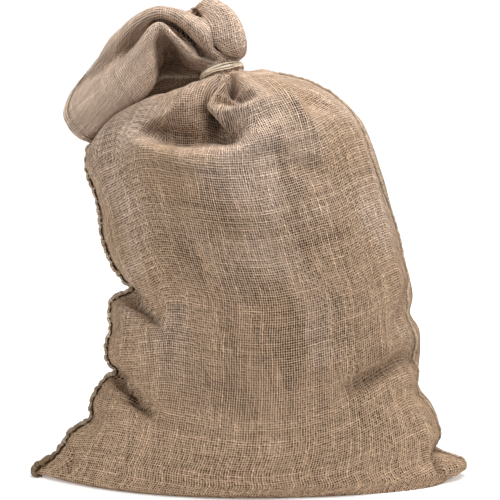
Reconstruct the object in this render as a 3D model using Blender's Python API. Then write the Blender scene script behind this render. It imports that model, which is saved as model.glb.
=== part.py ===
"""A filled burlap sack, tied at the neck, with its gathered collar flopped over to one side.

Metres, +Z up. The origin is on the floor under the middle of the sack. The sack faces -Y.
The cloth is one surface: rings up the filled body, a dome up to the neck, then the open collar.
"""
import math

import bpy
import numpy as np
from mathutils import Matrix

# Driving sizes.
CLOTH = 0.0028            # thickness of the cloth where it stands free
FOLD_SHARE = 0.35         # of the bend's radius that the cloth may fill where it folds tightly
SEAM_PROUD = 0.004        # how far the sewn side seams stand out
SEAM_WIDE = 0.0035        # half the seam's width
SEAM_REACH = 0.040        # how far a pucker of the seam reaches into the cloth
BULK_SMOOTH = 0.045       # the height over which the bulk evens out
BULK_FLARE = 0.060        # below this height the foot spreads sharply, so less of it is evened out
DOME_START = 0.25         # radians of the dome's curve that lie below the shoulder
DOME_CURVE = (1.8, 2.1)   # at the left and the right: 2 is an ellipse from shoulder to neck
FOOT_ROUND = 0.002        # the least height of the cloth above the flat foot
NECK = (-0.0315, 0.000, 0.4555)   # the middle of the gathered neck
NECK_WIDE = 0.0225        # half widths of the gathered neck
NECK_DEEP = 0.0180
NECK_LEAN_LEFT = 18.0     # degrees
NECK_LEAN_BACK = 22.0
NECK_HALF = 0.0075        # half the length that the tie grips
NECK_FADE = (0.7, 0.35, 0.0)   # how much of a fold is left on the last rings below the tie
PLEATS = 9                # flutes in the gathered cloth at the neck
PLEAT_DEEP = 0.0018
TWINE = 0.0027            # the tie
TIE_TURNS = 3
TIE_STEPS = 40
TIE_EDGE = 0.2            # how far in from the band's edges it meets the cloth, in twine widths
TWINE_ROUND = ((-0.4, 0.5), (0.0, 1.0), (0.4, 0.5))   # the round of one turn: across, out
KNOT_PLACE = 0.72         # round the neck, at the back
KNOT_REACH = 0.045
KNOT_PROUD = 1.6
KNOT_WIDE = 0.25
PLEAT_HELD = 0.78         # share of a flute's depth that stands out under the tie
CLEAR = 0.0003            # between the tie and the cloth

# Resolution of the solids.
FRONT_COLUMNS = 42
BACK_COLUMNS = 22
SEAM_COLUMNS = (-0.009, -0.0035, 0, 0.0035, 0.009)   # fractions round the sack, from each seam
BODY_SPLIT = 1
DOME_ROWS = 16
COLLAR_ROWS = 9
RING_SAMPLES = 400
BULK_SAMPLES = 9
FOLD_SAMPLES = 40
FOLD_END = 0.06           # how far into its fade a fold starts

# The filled body, a row for each section, in millimetres. left and right are the seams' places, front
# and back the depths of the middle, and seam is how far back the seams lie. A corner of 1 is round and
# 2 is drawn out to a point. The bulk follows the sections smoothed, and the seams follow each row.
SECTION_NAMES = ("height", "left", "right", "front", "back", "seam", "left_corner", "right_corner")
SECTIONS = (
    (0, -226, 232, 109, 98, -30, 1.7, 0.8),
    (5, -244, 247, 114, 103, -28, 1.8, 0.9),
    (12, -239, 245, 117, 107, -24, 1.8, 0.9),
    (18, -228, 233, 119, 109, -20, 1.7, 0.9),
    (24, -221, 219, 120, 111, -16, 1.6, 0.9),
    (35, -213, 218, 121, 114, -12, 1.5, 0.9),
    (47, -206, 219, 122, 116, -8, 1.4, 1.0),
    (60, -185, 217, 123, 118, -5, 1.3, 1.0),
    (80, -182, 206, 124, 119, -3, 1.2, 1.0),
    (95, -176, 194, 124, 120, -1, 1.2, 1.1),
    (106, -167, 193, 124, 120, 0, 1.2, 1.1),
    (117, -155, 194, 124, 120, 0, 1.2, 1.1),
    (128, -162, 195, 124, 121, 0, 1.2, 1.1),
    (145, -164, 195, 124, 121, 0, 1.2, 1.1),
    (165, -159, 193, 124, 121, 0, 1.2, 1.1),
    (185, -160, 184, 123, 121, 0, 1.2, 1.2),
    (199, -156, 185, 123, 120, 0, 1.2, 1.1),
    (210, -137, 183, 122, 120, 0, 1.2, 1.1),
    (222, -144, 181, 121, 119, 0, 1.2, 1.1),
    (245, -159, 176, 120, 118, 0, 1.2, 1.1),
    (270, -167, 170, 119, 116, 0, 1.2, 1.1),
    (300, -169, 162, 117, 113, 0, 1.2, 1.1),
    (325, -176, 155, 115, 109, 0, 1.2, 1.1),
    (350, -185, 147, 111, 104, 0, 1.2, 1.1),
    (369, -184, 141, 106, 97, 0, 1.2, 1.1),
)

# Folds of the filled cloth, in millimetres: a ridge stands out, a trough goes in. The widths are on
# the left and the right of the fold as it runs along its points, and an edge of 1 is a sharp crease.
FOLD_NAMES = ("name", "depth", "left_width", "right_width", "edge", "points")
FOLDS = (
    ("collar_bed", -32, 28, 28, 2, ((-72, 24, 440), (-115, 22, 430), (-155, 14, 404), (-186, 10, 372))),
    ("left_shoulder", 13, 18, 20, 2, ((-190, -22, 362), (-172, -28, 388), (-152, -34, 406), (-122, -38, 424),
                                      (-94, -40, 436))),
    ("pocket", -38, 30, 16, 2, ((-118, -76, 406), (-86, -84, 396), (-49, -86, 391), (-10, -86, 393))),
    ("pocket_end", -18, 14, 12, 2, ((-38, -80, 398), (-18, -86, 392), (-4, -88, 390))),
    ("pocket_lip", 13, 10, 15, 2, ((-114, -64, 413), (-128, -76, 400), (-112, -98, 384), (-60, -108, 374),
                                  (-8, -108, 377), (14, -98, 397))),
    ("centre_valley", -25, 8, 8, 2, ((-43, -24, 446), (-46, -50, 430), (-38, -65, 412), (-18, -80, 392))),
    ("centre_ridge", 9, 6, 6, 2, ((-34, -24, 448), (-33, -45, 435), (-42, -58, 420))),
    ("shelf_ridge", 16, 12, 10, 2, ((-44, -60, 416), (-27, -66, 412), (-6, -66, 414), (12, -60, 424),
                                    (32, -52, 437))),
    ("right_valley", -18, 8, 8, 2, ((-28, -26, 449), (-22, -42, 434), (-12, -55, 424))),
    ("left_ridge", 9, 9, 10, 2, ((-58, -36, 438), (-64, -45, 433), (-84, -60, 424), (-108, -66, 414))),
    ("shoulder_ridge", 9, 10, 10, 2, ((15, -18, 459), (34, -50, 439), (53, -75, 422), (78, -92, 395))),
    ("shoulder_hollow", -12, 15, 15, 2, ((40, -26, 452), (59, -45, 436), (82, -60, 418))),
    ("shoulder_cross", 3, 10, 10, 2, ((72, -75, 409), (91, -60, 411), (114, -35, 409))),
    ("under_lip_left", -5, 14, 20, 2, ((-110, -102, 364), (-74, -110, 352), (-32, -112, 354))),
    ("under_lip_right", -4, 12, 16, 2, ((12, -108, 384), (52, -108, 372), (95, -100, 358))),
    ("notch_upper", -10, 7, 8, 1.4, ((-139, -12, 212), (-126, -48, 211), (-108, -78, 200), (-89, -98, 189))),
    ("notch_lower", -13, 7, 8, 1.4, ((-156, -12, 118), (-143, -48, 115), (-120, -80, 102), (-93, -102, 88))),
    ("notch_small", -5, 6, 6, 1.4, ((-176, -10, 98), (-150, -45, 99), (-130, -72, 101))),
    ("right_crease", -6, 9, 10, 1.6, ((192, -12, 132), (170, -50, 138), (140, -80, 132), (110, -98, 124),
                                      (88, -106, 116))),
    ("right_low", -4, 8, 8, 1.6, ((193, -12, 93), (176, -50, 95), (157, -72, 102))),
    ("right_high", -3, 9, 9, 1.6, ((184, -12, 190), (166, -48, 184), (145, -72, 174))),
    ("back_upper", -8, 14, 14, 2, ((-120, 80, 300), (-60, 108, 280), (20, 112, 292), (80, 98, 270))),
    ("back_lower", -7, 14, 14, 2, ((-130, 80, 150), (-50, 112, 128), (40, 116, 140), (110, 96, 118))),
    ("back_gather_left", -11, 9, 9, 2, ((-50, 22, 452), (-66, 56, 428), (-84, 84, 392))),
    ("back_gather_mid", -12, 9, 9, 2, ((-28, 24, 456), (-20, 60, 432), (-10, 92, 388))),
    ("back_gather_right", -11, 9, 9, 2, ((-10, 20, 460), (26, 50, 438), (62, 76, 396))),
)

# The collar, in millimetres: a row for each run of the cloth from the neck out to the hem, and where
# it starts round the neck (0 the left seam, 0.25 the front, 0.5 the right seam, 0.75 the back).
COLLAR_NAMES = ("name", "around", "root", "rise", "crest", "fall", "hem")
COLLAR = (
    ("left_seam", 0.00, (-63, 14, 450), (-94, 22, 448), (-110, 14, 440), (-142, 10, 400), (-180, 4, 378)),
    ("hollow", 0.06, (-67, 8, 459), (-92, 42, 468), (-109, -14, 453), (-150, -8, 406), (-190, -8, 386)),
    ("ridge_under", 0.12, (-67, -4, 468), (-90, 18, 485), (-108, -32, 486), (-157, -30, 433), (-200, -18, 399)),
    ("front_ridge", 0.18, (-65, -21, 477), (-85, -32, 499), (-103, -30, 510), (-151, -26, 460), (-206, -14, 413)),
    ("front_crease", 0.24, (-49, -5, 474), (-67, 2, 489), (-94, 0, 507), (-135, -10, 481), (-198, -6, 434)),
    ("arch_front", 0.29, (-42, -14, 479), (-58, -18, 503), (-93, -16, 522), (-138, -12, 501), (-186, -4, 449)),
    ("arch_top", 0.34, (-40, -12, 481), (-52, -6, 509), (-94, 0, 528), (-146, 6, 502), (-173, 8, 464)),
    ("arch_back", 0.385, (-38, -1, 482), (-53, 14, 512), (-92, 24, 525), (-141, 26, 496), (-168, 22, 463)),
    ("top_crease", 0.425, (-29, 5, 476), (-47, 10, 499), (-65, 26, 512), (-101, 40, 511), (-136, 46, 495)),
    ("loop_front", 0.46, (-19, -13, 483), (-31, -14, 518), (-49, 4, 530), (-61, 22, 524), (-80, 36, 511)),
    ("loop_right", 0.52, (-9, -8, 481), (-13, -4, 512), (-32, 14, 531), (-53, 40, 526), (-72, 54, 512)),
    ("back_right", 0.60, (-6, 10, 477), (-14, 22, 501), (-32, 44, 514), (-58, 64, 512), (-92, 72, 498)),
    ("back", 0.72, (-21, 22, 470), (-30, 42, 488), (-57, 62, 498), (-103, 66, 487), (-148, 56, 458)),
    ("back_low", 0.84, (-43, 26, 461), (-62, 50, 468), (-94, 62, 472), (-138, 56, 452), (-174, 36, 416)),
    ("under_back", 0.93, (-57, 26, 443), (-86, 35, 427), (-112, 36, 420), (-146, 32, 400), (-178, 18, 376)),
)
COLLAR_RUN = (0.0, 0.11, 0.27, 0.46, 0.72, 1.0)   # where the neck and those five points lie along it


def column(rows, names, name):
    place = names.index(name)
    return [row[place] for row in rows]


def hermite(places, values, at):
    """A smooth curve through rows of values, read at the given places."""
    places = np.asarray(places, float)
    values = np.asarray(values, float)
    slopes = np.gradient(values, places, axis=0)
    low = np.clip(np.searchsorted(places, at, side="right") - 1, 0, len(places) - 2)
    step = (places[low + 1] - places[low]).reshape((-1,) + (1,) * (values.ndim - 1))
    t = ((at - places[low]) / (places[low + 1] - places[low])).reshape(step.shape)
    return (
        (2 * t**3 - 3 * t**2 + 1) * values[low]
        + (t**3 - 2 * t**2 + t) * step * slopes[low]
        + (3 * t**2 - 2 * t**3) * values[low + 1]
        + (t**3 - t**2) * step * slopes[low + 1]
    )


def section(height, smooth=0.0):
    """The row of sizes at a height, in metres but for the corners, averaged over a stretch if asked."""
    heights = column(SECTIONS, SECTION_NAMES, "height")
    rows = [row[1:] for row in SECTIONS]
    offset = np.linspace(-1, 1, BULK_SAMPLES)
    stretch = np.clip(offset * smooth + height, 0, heights[-1] / 1000)
    weights = np.exp(-2 * offset**2)
    row = np.average(hermite(heights, rows, stretch * 1000), axis=0, weights=weights)
    return row * np.array([0.001] * 5 + [1, 1])


def half_ring(left, right, depth, seam, corners):
    """Half a section from the left seam to the right, with the distance run at each sample."""
    angle = np.linspace(0, math.pi, RING_SAMPLES)
    share = (1 - np.cos(angle)) / 2
    bulge = np.sin(angle) ** (corners[0] + (corners[1] - corners[0]) * share)
    x = left + (right - left) * share
    y = seam * (1 - bulge) + depth * bulge
    return x, y, np.concatenate([[0], np.cumsum(np.hypot(np.diff(x), np.diff(y)))])


def body_ring(height, around):
    """The body's section at a height, read at fractions of the way round from the left seam."""
    smooth = BULK_SMOOTH * min(1, height / BULK_FLARE)
    left, right, front, back, seam, *corners = section(height, smooth)
    edges = section(height)[:2] - (left, right)
    ring = np.zeros((len(around), 3))
    for half, depth, start in ((around <= 0.5, -front, 0.0), (around > 0.5, back, 1.0)):
        x, y, run = half_ring(left + SEAM_PROUD, right - SEAM_PROUD, depth, seam, corners)
        place = 2 * np.abs(around[half] - start) * run[-1]
        pull = edges[0] * np.exp(-((place / SEAM_REACH) ** 2))
        pull += edges[1] * np.exp(-(((run[-1] - place) / SEAM_REACH) ** 2))
        ring[half, 0] = np.interp(place, run, x) + pull
        ring[half, 1] = np.interp(place, run, y)
    ring[:, 2] = height
    return ring


def neck_axes():
    """The neck's directions: along its width, its depth and its length."""
    left = math.radians(NECK_LEAN_LEFT)
    back = math.radians(NECK_LEAN_BACK)
    wide = np.array([math.cos(left), 0, math.sin(left)])
    axis = np.array([-math.sin(left) * math.cos(back), math.sin(back), math.cos(left) * math.cos(back)])
    return np.array([wide, np.cross(axis, wide), axis])


def oval(around, along, extra):
    """An oval in the neck's own directions, at distances along it and with extra radius."""
    angle = 2 * math.pi * np.asarray(around)
    across = -(NECK_WIDE + extra) * np.cos(angle)
    forward = -(NECK_DEEP + extra) * np.sin(angle)
    return np.column_stack([across, forward, np.broadcast_to(along, angle.shape)])


def neck_oval(around, along, extra):
    return np.array(NECK) + oval(around, along, extra) @ neck_axes()


def neck_ring(around, along):
    """The gathered cloth at the neck, a fluted oval."""
    flute = PLEAT_DEEP * np.cos(PLEATS * 2 * math.pi * around)
    return neck_oval(around, along, flute)


def dome_rows(around, steps):
    """Rings from the shoulder up and in to the neck."""
    shoulder = body_ring(SECTIONS[-1][0] / 1000, around)
    neck = neck_ring(around, -NECK_HALF)
    rightward = (1 - np.cos(2 * math.pi * around)) / 2
    curve = DOME_CURVE[0] + (DOME_CURVE[1] - DOME_CURVE[0]) * rightward
    rows = []
    for step in steps:
        turn = DOME_START + step * (math.pi / 2 - DOME_START)
        start = math.sin(DOME_START) ** (2 / curve)
        inward = (math.cos(turn) / math.cos(DOME_START)) ** (2 / curve)
        upward = (math.sin(turn) ** (2 / curve) - start) / (1 - start)
        ring = neck + (shoulder - neck) * inward[:, None]
        ring[:, 2] = shoulder[:, 2] + (neck[:, 2] - shoulder[:, 2]) * upward
        rows.append(ring)
    return rows


def collar_rows(around, steps):
    """Rings of the open collar from the neck to its hem."""
    start = neck_oval(around, NECK_HALF, 0)
    places = column(COLLAR, COLLAR_NAMES, "around")
    stations = [start]
    for station in COLLAR_NAMES[2:]:
        points = np.array(column(COLLAR, COLLAR_NAMES, station)) / 1000.0
        wrapped = np.concatenate([points[-3:], points, points[:3]])
        at = np.concatenate([np.array(places[-3:]) - 1, places, np.array(places[:3]) + 1])
        stations.append(hermite(at, wrapped, around))
    stations = np.array(stations)
    flat = hermite(COLLAR_RUN, stations.reshape(len(stations), -1), np.asarray(steps))
    return list(flat.reshape(len(steps), len(around), 3))


def normals_of(grid):
    """Outward directions of a grid of rings, averaged over the faces that meet at each point."""
    after = np.roll(grid, -1, axis=1)
    face = np.cross(after[1:] - grid[:-1], grid[1:] - after[:-1])
    face = face + np.roll(face, 1, axis=1)
    normal = np.concatenate([face[:1], face[1:] + face[:-1], face[-1:]])
    return normal / np.maximum(np.linalg.norm(normal, axis=2, keepdims=True), 1e-12)


def seated(points, path):
    """A fold's points moved onto the nearest cloth, with a smooth curve run through them."""
    seats = [points[np.argmin(np.linalg.norm(points - point, axis=1))] for point in path]
    return hermite(np.arange(len(seats)), np.array(seats), np.linspace(0, len(seats) - 1, FOLD_SAMPLES))


def fold_heights(grid):
    """How far each point of the filled cloth moves along its normal."""
    points = grid.reshape(-1, 3)
    normals = normals_of(grid).reshape(-1, 3)
    moved = np.zeros(len(points))
    for row in FOLDS:
        fold = dict(zip(FOLD_NAMES, row))
        path = seated(points, np.array(fold["points"]) / 1000)
        gaps = points[:, None] - path[None]
        nearest = np.argmin((gaps**2).sum(axis=2), axis=1)
        gap = gaps[np.arange(len(points)), nearest]
        run = np.gradient(path, axis=0)[nearest]
        side = (np.cross(run, gap) * normals).sum(axis=1)
        width = np.where(side > 0, fold["left_width"], fold["right_width"]) / 1000
        along = (nearest + 0.5) / FOLD_SAMPLES
        fade = np.sqrt(np.sin(math.pi * np.clip(FOLD_END + along * (1 - FOLD_END), 0, 1)))
        away = np.linalg.norm(gap, axis=1) / width
        moved += fold["depth"] / 1000 * fade * np.exp(-(away ** fold["edge"]))
    return moved.reshape(grid.shape[:2])


def columns():
    """Fractions round the sack, closer together at the front, with a few at each seam."""
    seam = np.array(SEAM_COLUMNS)
    front = np.linspace(0, 0.5, FRONT_COLUMNS + 1)[1:-1]
    back = np.linspace(0.5, 1, BACK_COLUMNS + 1)[1:-1]
    return np.unique(np.round(np.concatenate([seam % 1, 0.5 + seam, front, back]), 6))


def seam_heights(around, grid):
    """How far the sewn edge along both sides stands out."""
    heights = np.zeros(grid.shape[:2])
    for seam in (0.0, 0.5):
        place = int(np.argmin(np.abs(around - seam)))
        gap = np.linalg.norm(grid - grid[:, place:place + 1], axis=2)
        heights += SEAM_PROUD * np.exp(-((gap / SEAM_WIDE) ** 2))
    return heights


def sack_grids():
    """The outside of the filled body and of the collar, as grids of rings."""
    around = columns()
    heights = column(SECTIONS, SECTION_NAMES, "height")
    places = np.arange(0, len(heights) - 1 + 1e-6, 1 / BODY_SPLIT)
    heights = np.interp(places, np.arange(len(heights)), heights)
    body = [body_ring(height / 1000, around) for height in heights]
    steps = np.linspace(0, 1, DOME_ROWS + 1)[1:]
    filled = np.array(body + dome_rows(around, steps))
    heights = fold_heights(filled)
    heights[0] = 0
    heights += seam_heights(around, filled)
    heights[-3:] *= np.array(NECK_FADE)[:, None]
    folded = filled + normals_of(filled) * heights[:, :, None]
    folded[1:, :, 2] = np.maximum(folded[1:, :, 2], FOOT_ROUND)
    folded[0, :, 2] = 0
    collar = np.array(collar_rows(around, np.linspace(0, 1, COLLAR_ROWS + 1)))
    return around, folded, collar


def inside_of(grid, start):
    """The inner face of a sheet from its first ring: thinner in tight folds, so that it keeps clear."""
    normals = normals_of(grid)
    thick = np.full(grid.shape[:2], CLOTH)
    edges = (
        (np.roll(grid, -1, axis=1) - grid, np.roll(normals, -1, axis=1) - normals),
        (grid[1:] - grid[:-1], normals[1:] - normals[:-1]),
    )
    most = []
    for edge, turn in edges:
        bend = np.maximum((edge * turn).sum(axis=2), 1e-9)
        most.append(FOLD_SHARE * (edge**2).sum(axis=2) / bend)
    thick = np.minimum(thick, np.minimum(most[0], np.roll(most[0], 1, axis=1)))
    thick[:-1] = np.minimum(thick[:-1], most[1])
    thick[1:] = np.minimum(thick[1:], most[1])
    inside = grid - normals * thick[:, :, None]
    inside[0] = start
    return inside


def bridge(faces, first, second, count):
    """Quads between two rings of vertex numbers."""
    for i in range(count):
        j = (i + 1) % count
        faces.append((first + i, first + j, second + j, second + i))


def sack_mesh():
    around, folded, collar = sack_grids()
    count = len(around)
    plug = neck_oval(around, NECK_HALF, -CLOTH)
    inner = inside_of(collar, plug)[::-1]
    rings = list(folded) + list(collar) + list(inner)
    points = [tuple(p) for ring in rings for p in ring]
    faces = []
    for row in range(len(rings) - 1):
        bridge(faces, row * count, (row + 1) * count, count)
    last = (len(rings) - 1) * count
    middle = len(points)
    points.append(tuple(np.mean(rings[-1], axis=0)))
    for i in range(count):
        faces.append((last + i, last + (i + 1) % count, middle))
    right = int(np.argmin(np.abs(around - 0.5)))
    front = list(range(0, right + 1))
    back_points = [0] + [i for i in range(count - 1, right, -1)] + [right]
    add_base(faces, rings[0], front, back_points)
    return points, faces


def add_base(faces, ring, front, back):
    """The flat foot: strips across from the front edge to the back edge, all in one plane."""
    i, j = 0, 0
    while i < len(front) - 1 or j < len(back) - 1:
        step_front = i < len(front) - 1 and (
            j == len(back) - 1 or ring[front[i + 1], 0] <= ring[back[j + 1], 0]
        )
        if step_front:
            corners = (front[i], back[j], front[i + 1])
            i += 1
        else:
            corners = (front[i], back[j], back[j + 1])
            j += 1
        if len(set(corners)) == 3:
            faces.append(corners)


def tie_mesh():
    """Turns of twine side by side round the neck, one ribbed band with its knot at the back."""
    around = np.arange(TIE_STEPS) / TIE_STEPS
    knot = np.exp(-(((around - KNOT_PLACE) / KNOT_REACH) ** 2))
    band = TIE_TURNS * TWINE
    profile = [(TIE_EDGE * TWINE - band / 2, 0.0)]
    for turn in range(TIE_TURNS):
        middle = (turn + 0.5) * TWINE - band / 2
        for across, out in TWINE_ROUND:
            profile.append((middle + across * TWINE, out * TWINE))
    profile.append((band / 2 - TIE_EDGE * TWINE, 0.0))
    rings = []
    for along, out in profile:
        extra = PLEAT_HELD * PLEAT_DEEP + CLEAR + out * (1 + KNOT_PROUD * knot)
        rings.append(oval(around, along * (1 + KNOT_WIDE * knot), extra))
    points = [tuple(p) for ring in rings for p in ring]
    faces = []
    for row in range(len(rings)):
        bridge(faces, row * TIE_STEPS, (row + 1) % len(rings) * TIE_STEPS, TIE_STEPS)
    return points, faces


def material(name, colour, roughness):
    made = bpy.data.materials.new(name)
    made.use_nodes = True
    shader = made.node_tree.nodes["Principled BSDF"]
    shader.inputs["Base Color"].default_value = (*colour, 1)
    shader.inputs["Roughness"].default_value = roughness
    shader.inputs["Metallic"].default_value = 0.0
    return made


def add_node(name, points, faces, finish, group):
    mesh = bpy.data.meshes.new(name)
    mesh.from_pydata(points, [], faces)
    mesh.update()
    mesh.shade_smooth()
    mesh.materials.append(finish)
    made = bpy.data.objects.new(name, mesh)
    group.objects.link(made)
    return made


def main():
    for old in list(bpy.data.objects):
        bpy.data.objects.remove(old, do_unlink=True)
    group = bpy.data.collections.new("burlap_sack")
    bpy.context.scene.collection.children.link(group)
    hessian = material("hessian", (0.42, 0.29, 0.18), 0.95)
    straw = material("straw_twine", (0.62, 0.50, 0.32), 0.85)
    sack = add_node("sack", *sack_mesh(), hessian, group)
    tie = add_node("tie", *tie_mesh(), straw, group)
    tie.parent = sack
    lean = Matrix(neck_axes()).transposed()
    tie.matrix_world = Matrix.Translation(NECK) @ lean.to_4x4()


main()
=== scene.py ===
"""A filled burlap sack, tied at the neck with straw twine, its gathered collar flopped to one side.

Metres, +Z up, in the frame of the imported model. The cloth is worked out from the same tables as the
CAD solid, on a finer grid, with the smaller creases, gathers, seams, hem and tie added to it.
"""
import math

import bpy
import numpy as np
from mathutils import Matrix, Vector, noise


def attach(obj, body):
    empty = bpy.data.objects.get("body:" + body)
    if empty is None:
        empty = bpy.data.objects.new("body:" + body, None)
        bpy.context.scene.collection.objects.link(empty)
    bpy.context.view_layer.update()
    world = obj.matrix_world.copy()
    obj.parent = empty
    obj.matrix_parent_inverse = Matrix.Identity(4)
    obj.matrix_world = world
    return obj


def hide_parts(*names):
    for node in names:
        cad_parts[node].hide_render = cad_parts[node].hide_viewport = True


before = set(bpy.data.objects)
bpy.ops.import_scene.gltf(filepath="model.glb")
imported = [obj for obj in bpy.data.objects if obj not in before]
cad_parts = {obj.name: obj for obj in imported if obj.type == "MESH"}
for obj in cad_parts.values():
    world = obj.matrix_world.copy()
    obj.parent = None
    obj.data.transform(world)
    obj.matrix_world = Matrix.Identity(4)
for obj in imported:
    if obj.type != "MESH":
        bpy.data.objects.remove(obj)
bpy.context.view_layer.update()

# Sizes shared with the CAD solid.
CLOTH = 0.0028            # thickness of the cloth where it stands free
FOLD_SHARE = 0.35         # of the bend's radius that the cloth may fill where it folds tightly
SEAM_PROUD = 0.004        # how far the sewn side seams stand out
SEAM_WIDE = 0.0035        # half the seam's width
SEAM_REACH = 0.040        # how far a pucker of the seam reaches into the cloth
BULK_SMOOTH = 0.045       # the height over which the bulk evens out
BULK_FLARE = 0.060        # below this height the foot spreads sharply, so less of it is evened out
DOME_START = 0.25         # radians of the dome's curve that lie below the shoulder
DOME_CURVE = (1.8, 2.3)   # at the left and the right: 2 is an ellipse from shoulder to neck
FOOT_ROUND = 0.002        # the least height of the cloth above the flat foot
NECK = (-0.0315, 0.000, 0.4555)   # the middle of the gathered neck
NECK_WIDE = 0.0225        # half widths of the gathered neck
NECK_DEEP = 0.0180
NECK_LEAN_LEFT = 18.0     # degrees
NECK_LEAN_BACK = 22.0
NECK_HALF = 0.0075        # half the length that the tie grips
NECK_FADE = 0.06          # share of the dome over which the folds fade out towards the tie
PLEATS = 9                # flutes in the gathered cloth at the neck
PLEAT_DEEP = 0.0018
BULK_SAMPLES = 9
BULK_FALL = 2             # how sharply the further samples count for less
RING_SAMPLES = 400
FOLD_SAMPLES = 60
FOLD_END = 0.06           # how far into its fade a fold starts

# Resolution of the cloth.
FRONT_COLUMNS = 204
BACK_COLUMNS = 130
SEAM_COLUMNS = (0.0, 0.0008, 0.0016, 0.0024, 0.0032, 0.0042, 0.0054, 0.0068, 0.0084)
SEAM_CLEAR = 1.1          # the even columns start this share of a seam's reach away from it
FOOT_ROWS = 36            # up to the height of FOOT_TOP
FOOT_TOP = 0.060
BODY_ROWS = 112           # from there to the shoulder
DOME_ROWS = 104
COLLAR_ROWS = 108
NECK_ROWS = 3             # hidden under the tie

# The cloth itself.
GIRTH = 0.98              # flat width of both sides together
LENGTH = 0.85             # from the folded bottom to the hem
WARP_PITCH = 0.00280      # between the threads that run up the sack
WEFT_PITCH = 0.00272      # between the threads that run round it
RISE_LEFT = 0.018         # how much higher the weft runs at the left seam than in the middle
RISE_RIGHT = 0.052
FULLNESS = 1.10           # flat cloth to the length it takes up where it is gathered
EVEN_COLUMNS = 4          # creases narrower than these don't bend the threads
EVEN_ROWS = 3
GATHER_COUNT = 23
GATHER_HIGH = (0.15, 0.42)  # of the pleat's width
GATHER_WIDE = (0.010, 0.024)   # as fractions of the way round
GATHER_REACH = (0.030, 0.085)
GATHER_START = 0.006      # from the tie, before the pleats open
GATHER_STRAY = 0.35       # how far a pleat strays from its place, of the space between pleats
GATHER_DRIFT = 0.25       # how far it slants, in turns for each metre
BODY_GATHERS_SEED = 5
COLLAR_GATHERS_SEED = 9
BODY_SWELLS = ((0.0013, 0.050, 1), (0.0007, 0.019, 2))     # soft noise: heights, sizes and seeds
COLLAR_SWELLS = ((0.0011, 0.040, 3), (0.0006, 0.016, 4))
SWELL_SHIFT = (3.1, 1.7, 2.3)   # sets one seed's noise apart from another's
FOOT_CALM = 0.010         # creases fade out below this height
ROOT_CALM = 0.012         # and in the collar this near the tie
DOME_KEPT = 4             # rows at the tie that aren't evened out
DOME_EVEN = (2, 1)        # over how many columns and rows the others are
LOCAL_FROM = 0.36         # from this height the threads follow the gathers
LOCAL_OVER = 0.06
EVEN_RUN_BODY = 5         # columns over which a thread's height is evened out
EVEN_RUN_COLLAR = 4
TIGHT_FROM = (0.60, 0.66)   # along the sack, where the weave is closer and the cloth is painted paler as painted light: the collar
HEM_DEEP = 0.009          # the folded hem
HEM_PROUD = 0.0007
HEM_STEP = 0.001          # over which the hem's edge rises
HEM_EDGE = 0.0015         # of cloth in the turn of the hem
STITCH_IN = 0.8           # the hem's stitches lie this share of its depth in from the edge
STITCH_LONG = 0.0034
STITCH_GAP = 0.0014
STITCH_LEFT = 0.004       # no stitch starts nearer than this to the end
STITCH_HIGH = 0.0006      # over the cloth at its middle
STITCH_DIP = 2.2          # how far it drops from there to its ends, of that height
STITCH_UNEVEN = (0.8, 1.2)
STITCH_RADIUS = 0.00040
STITCH_SIDES = 5
STITCH_STEPS = 6
STITCH_SEED = 25
STITCH_PITCH = 0.0029     # of the stitches that bind the seams' edges
STITCH_SLANT = 1.5        # in stitches, over one turn round the edge
ROLL_LEFT = 0.0034        # radius of the bound edge
ROLL_RIGHT = 0.0016
ROLL_COLLAR = 0.0024
ROLL_OUT = 0.5            # how far the roll stands out from the cloth's edge, of its radius
SCALLOP = 0.0105          # length of the bound edge's scallops
CREASE_SHADE_DEPTH = 0.020        # a crease this deep gets the most painted shade
COLLAR_SHADE_SHARE = 0.4         # share of that painted shade in the collar
FLOOR_CLEAR = 0.0002      # the roll rests on the floor at the corners
SEAM_NEAR = 32            # columns beside a seam that its roll may run over
SEAM_EVEN = 3             # columns over which the directions out from it are evened
LEFT_SEED = 21
RIGHT_SEED = 22
COLLAR_SEED = 23
EAR_SWELL = (0.60, 0.016, 0.012)   # the roll thickens at the left corner: how much, where and how far
ROLL_STEP = 0.00075
ROLL_SIDES = 12
ROLL_KNOT = 0.006         # between the places where its unevenness is drawn
ROLL_SPARE = 0.02         # how far past its end they go
ROLL_UNEVEN = ((0.74, 1.20), (-0.25, 0.25), (-0.5, 0.5), (0.85, 1.2))   # size, scallop, sway and pitch
ROLL_TAPER = 0.004        # at its ends
ROLL_LEAST = 0.05         # share of its size at the very end
ROLL_WAIST = 0.88         # of its radius, between two stitches
WRAP_HIGH = 0.15          # how far a stitch stands out of it, of the same
WRAP_SHARP = 0.7
ROLL_DEEP = 1.05          # outwards, of its width
ROLL_SWAY = 0.35          # how far it strays to the side, of its radius
SCALLOP_IN = 0.25         # where a scallop starts and how far it swells, of the roll's radius
SCALLOP_HIGH = 0.4
SEAM_FIRST_ROW = 2
SEAM_TOP_ROWS = 8         # the roll ends this many rows under the tie
COLLAR_SEAM_FIRST_ROW = 8
SEAM_FLAT = 0.30          # the cloth itself stands out this share of the seam's height under it

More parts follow.
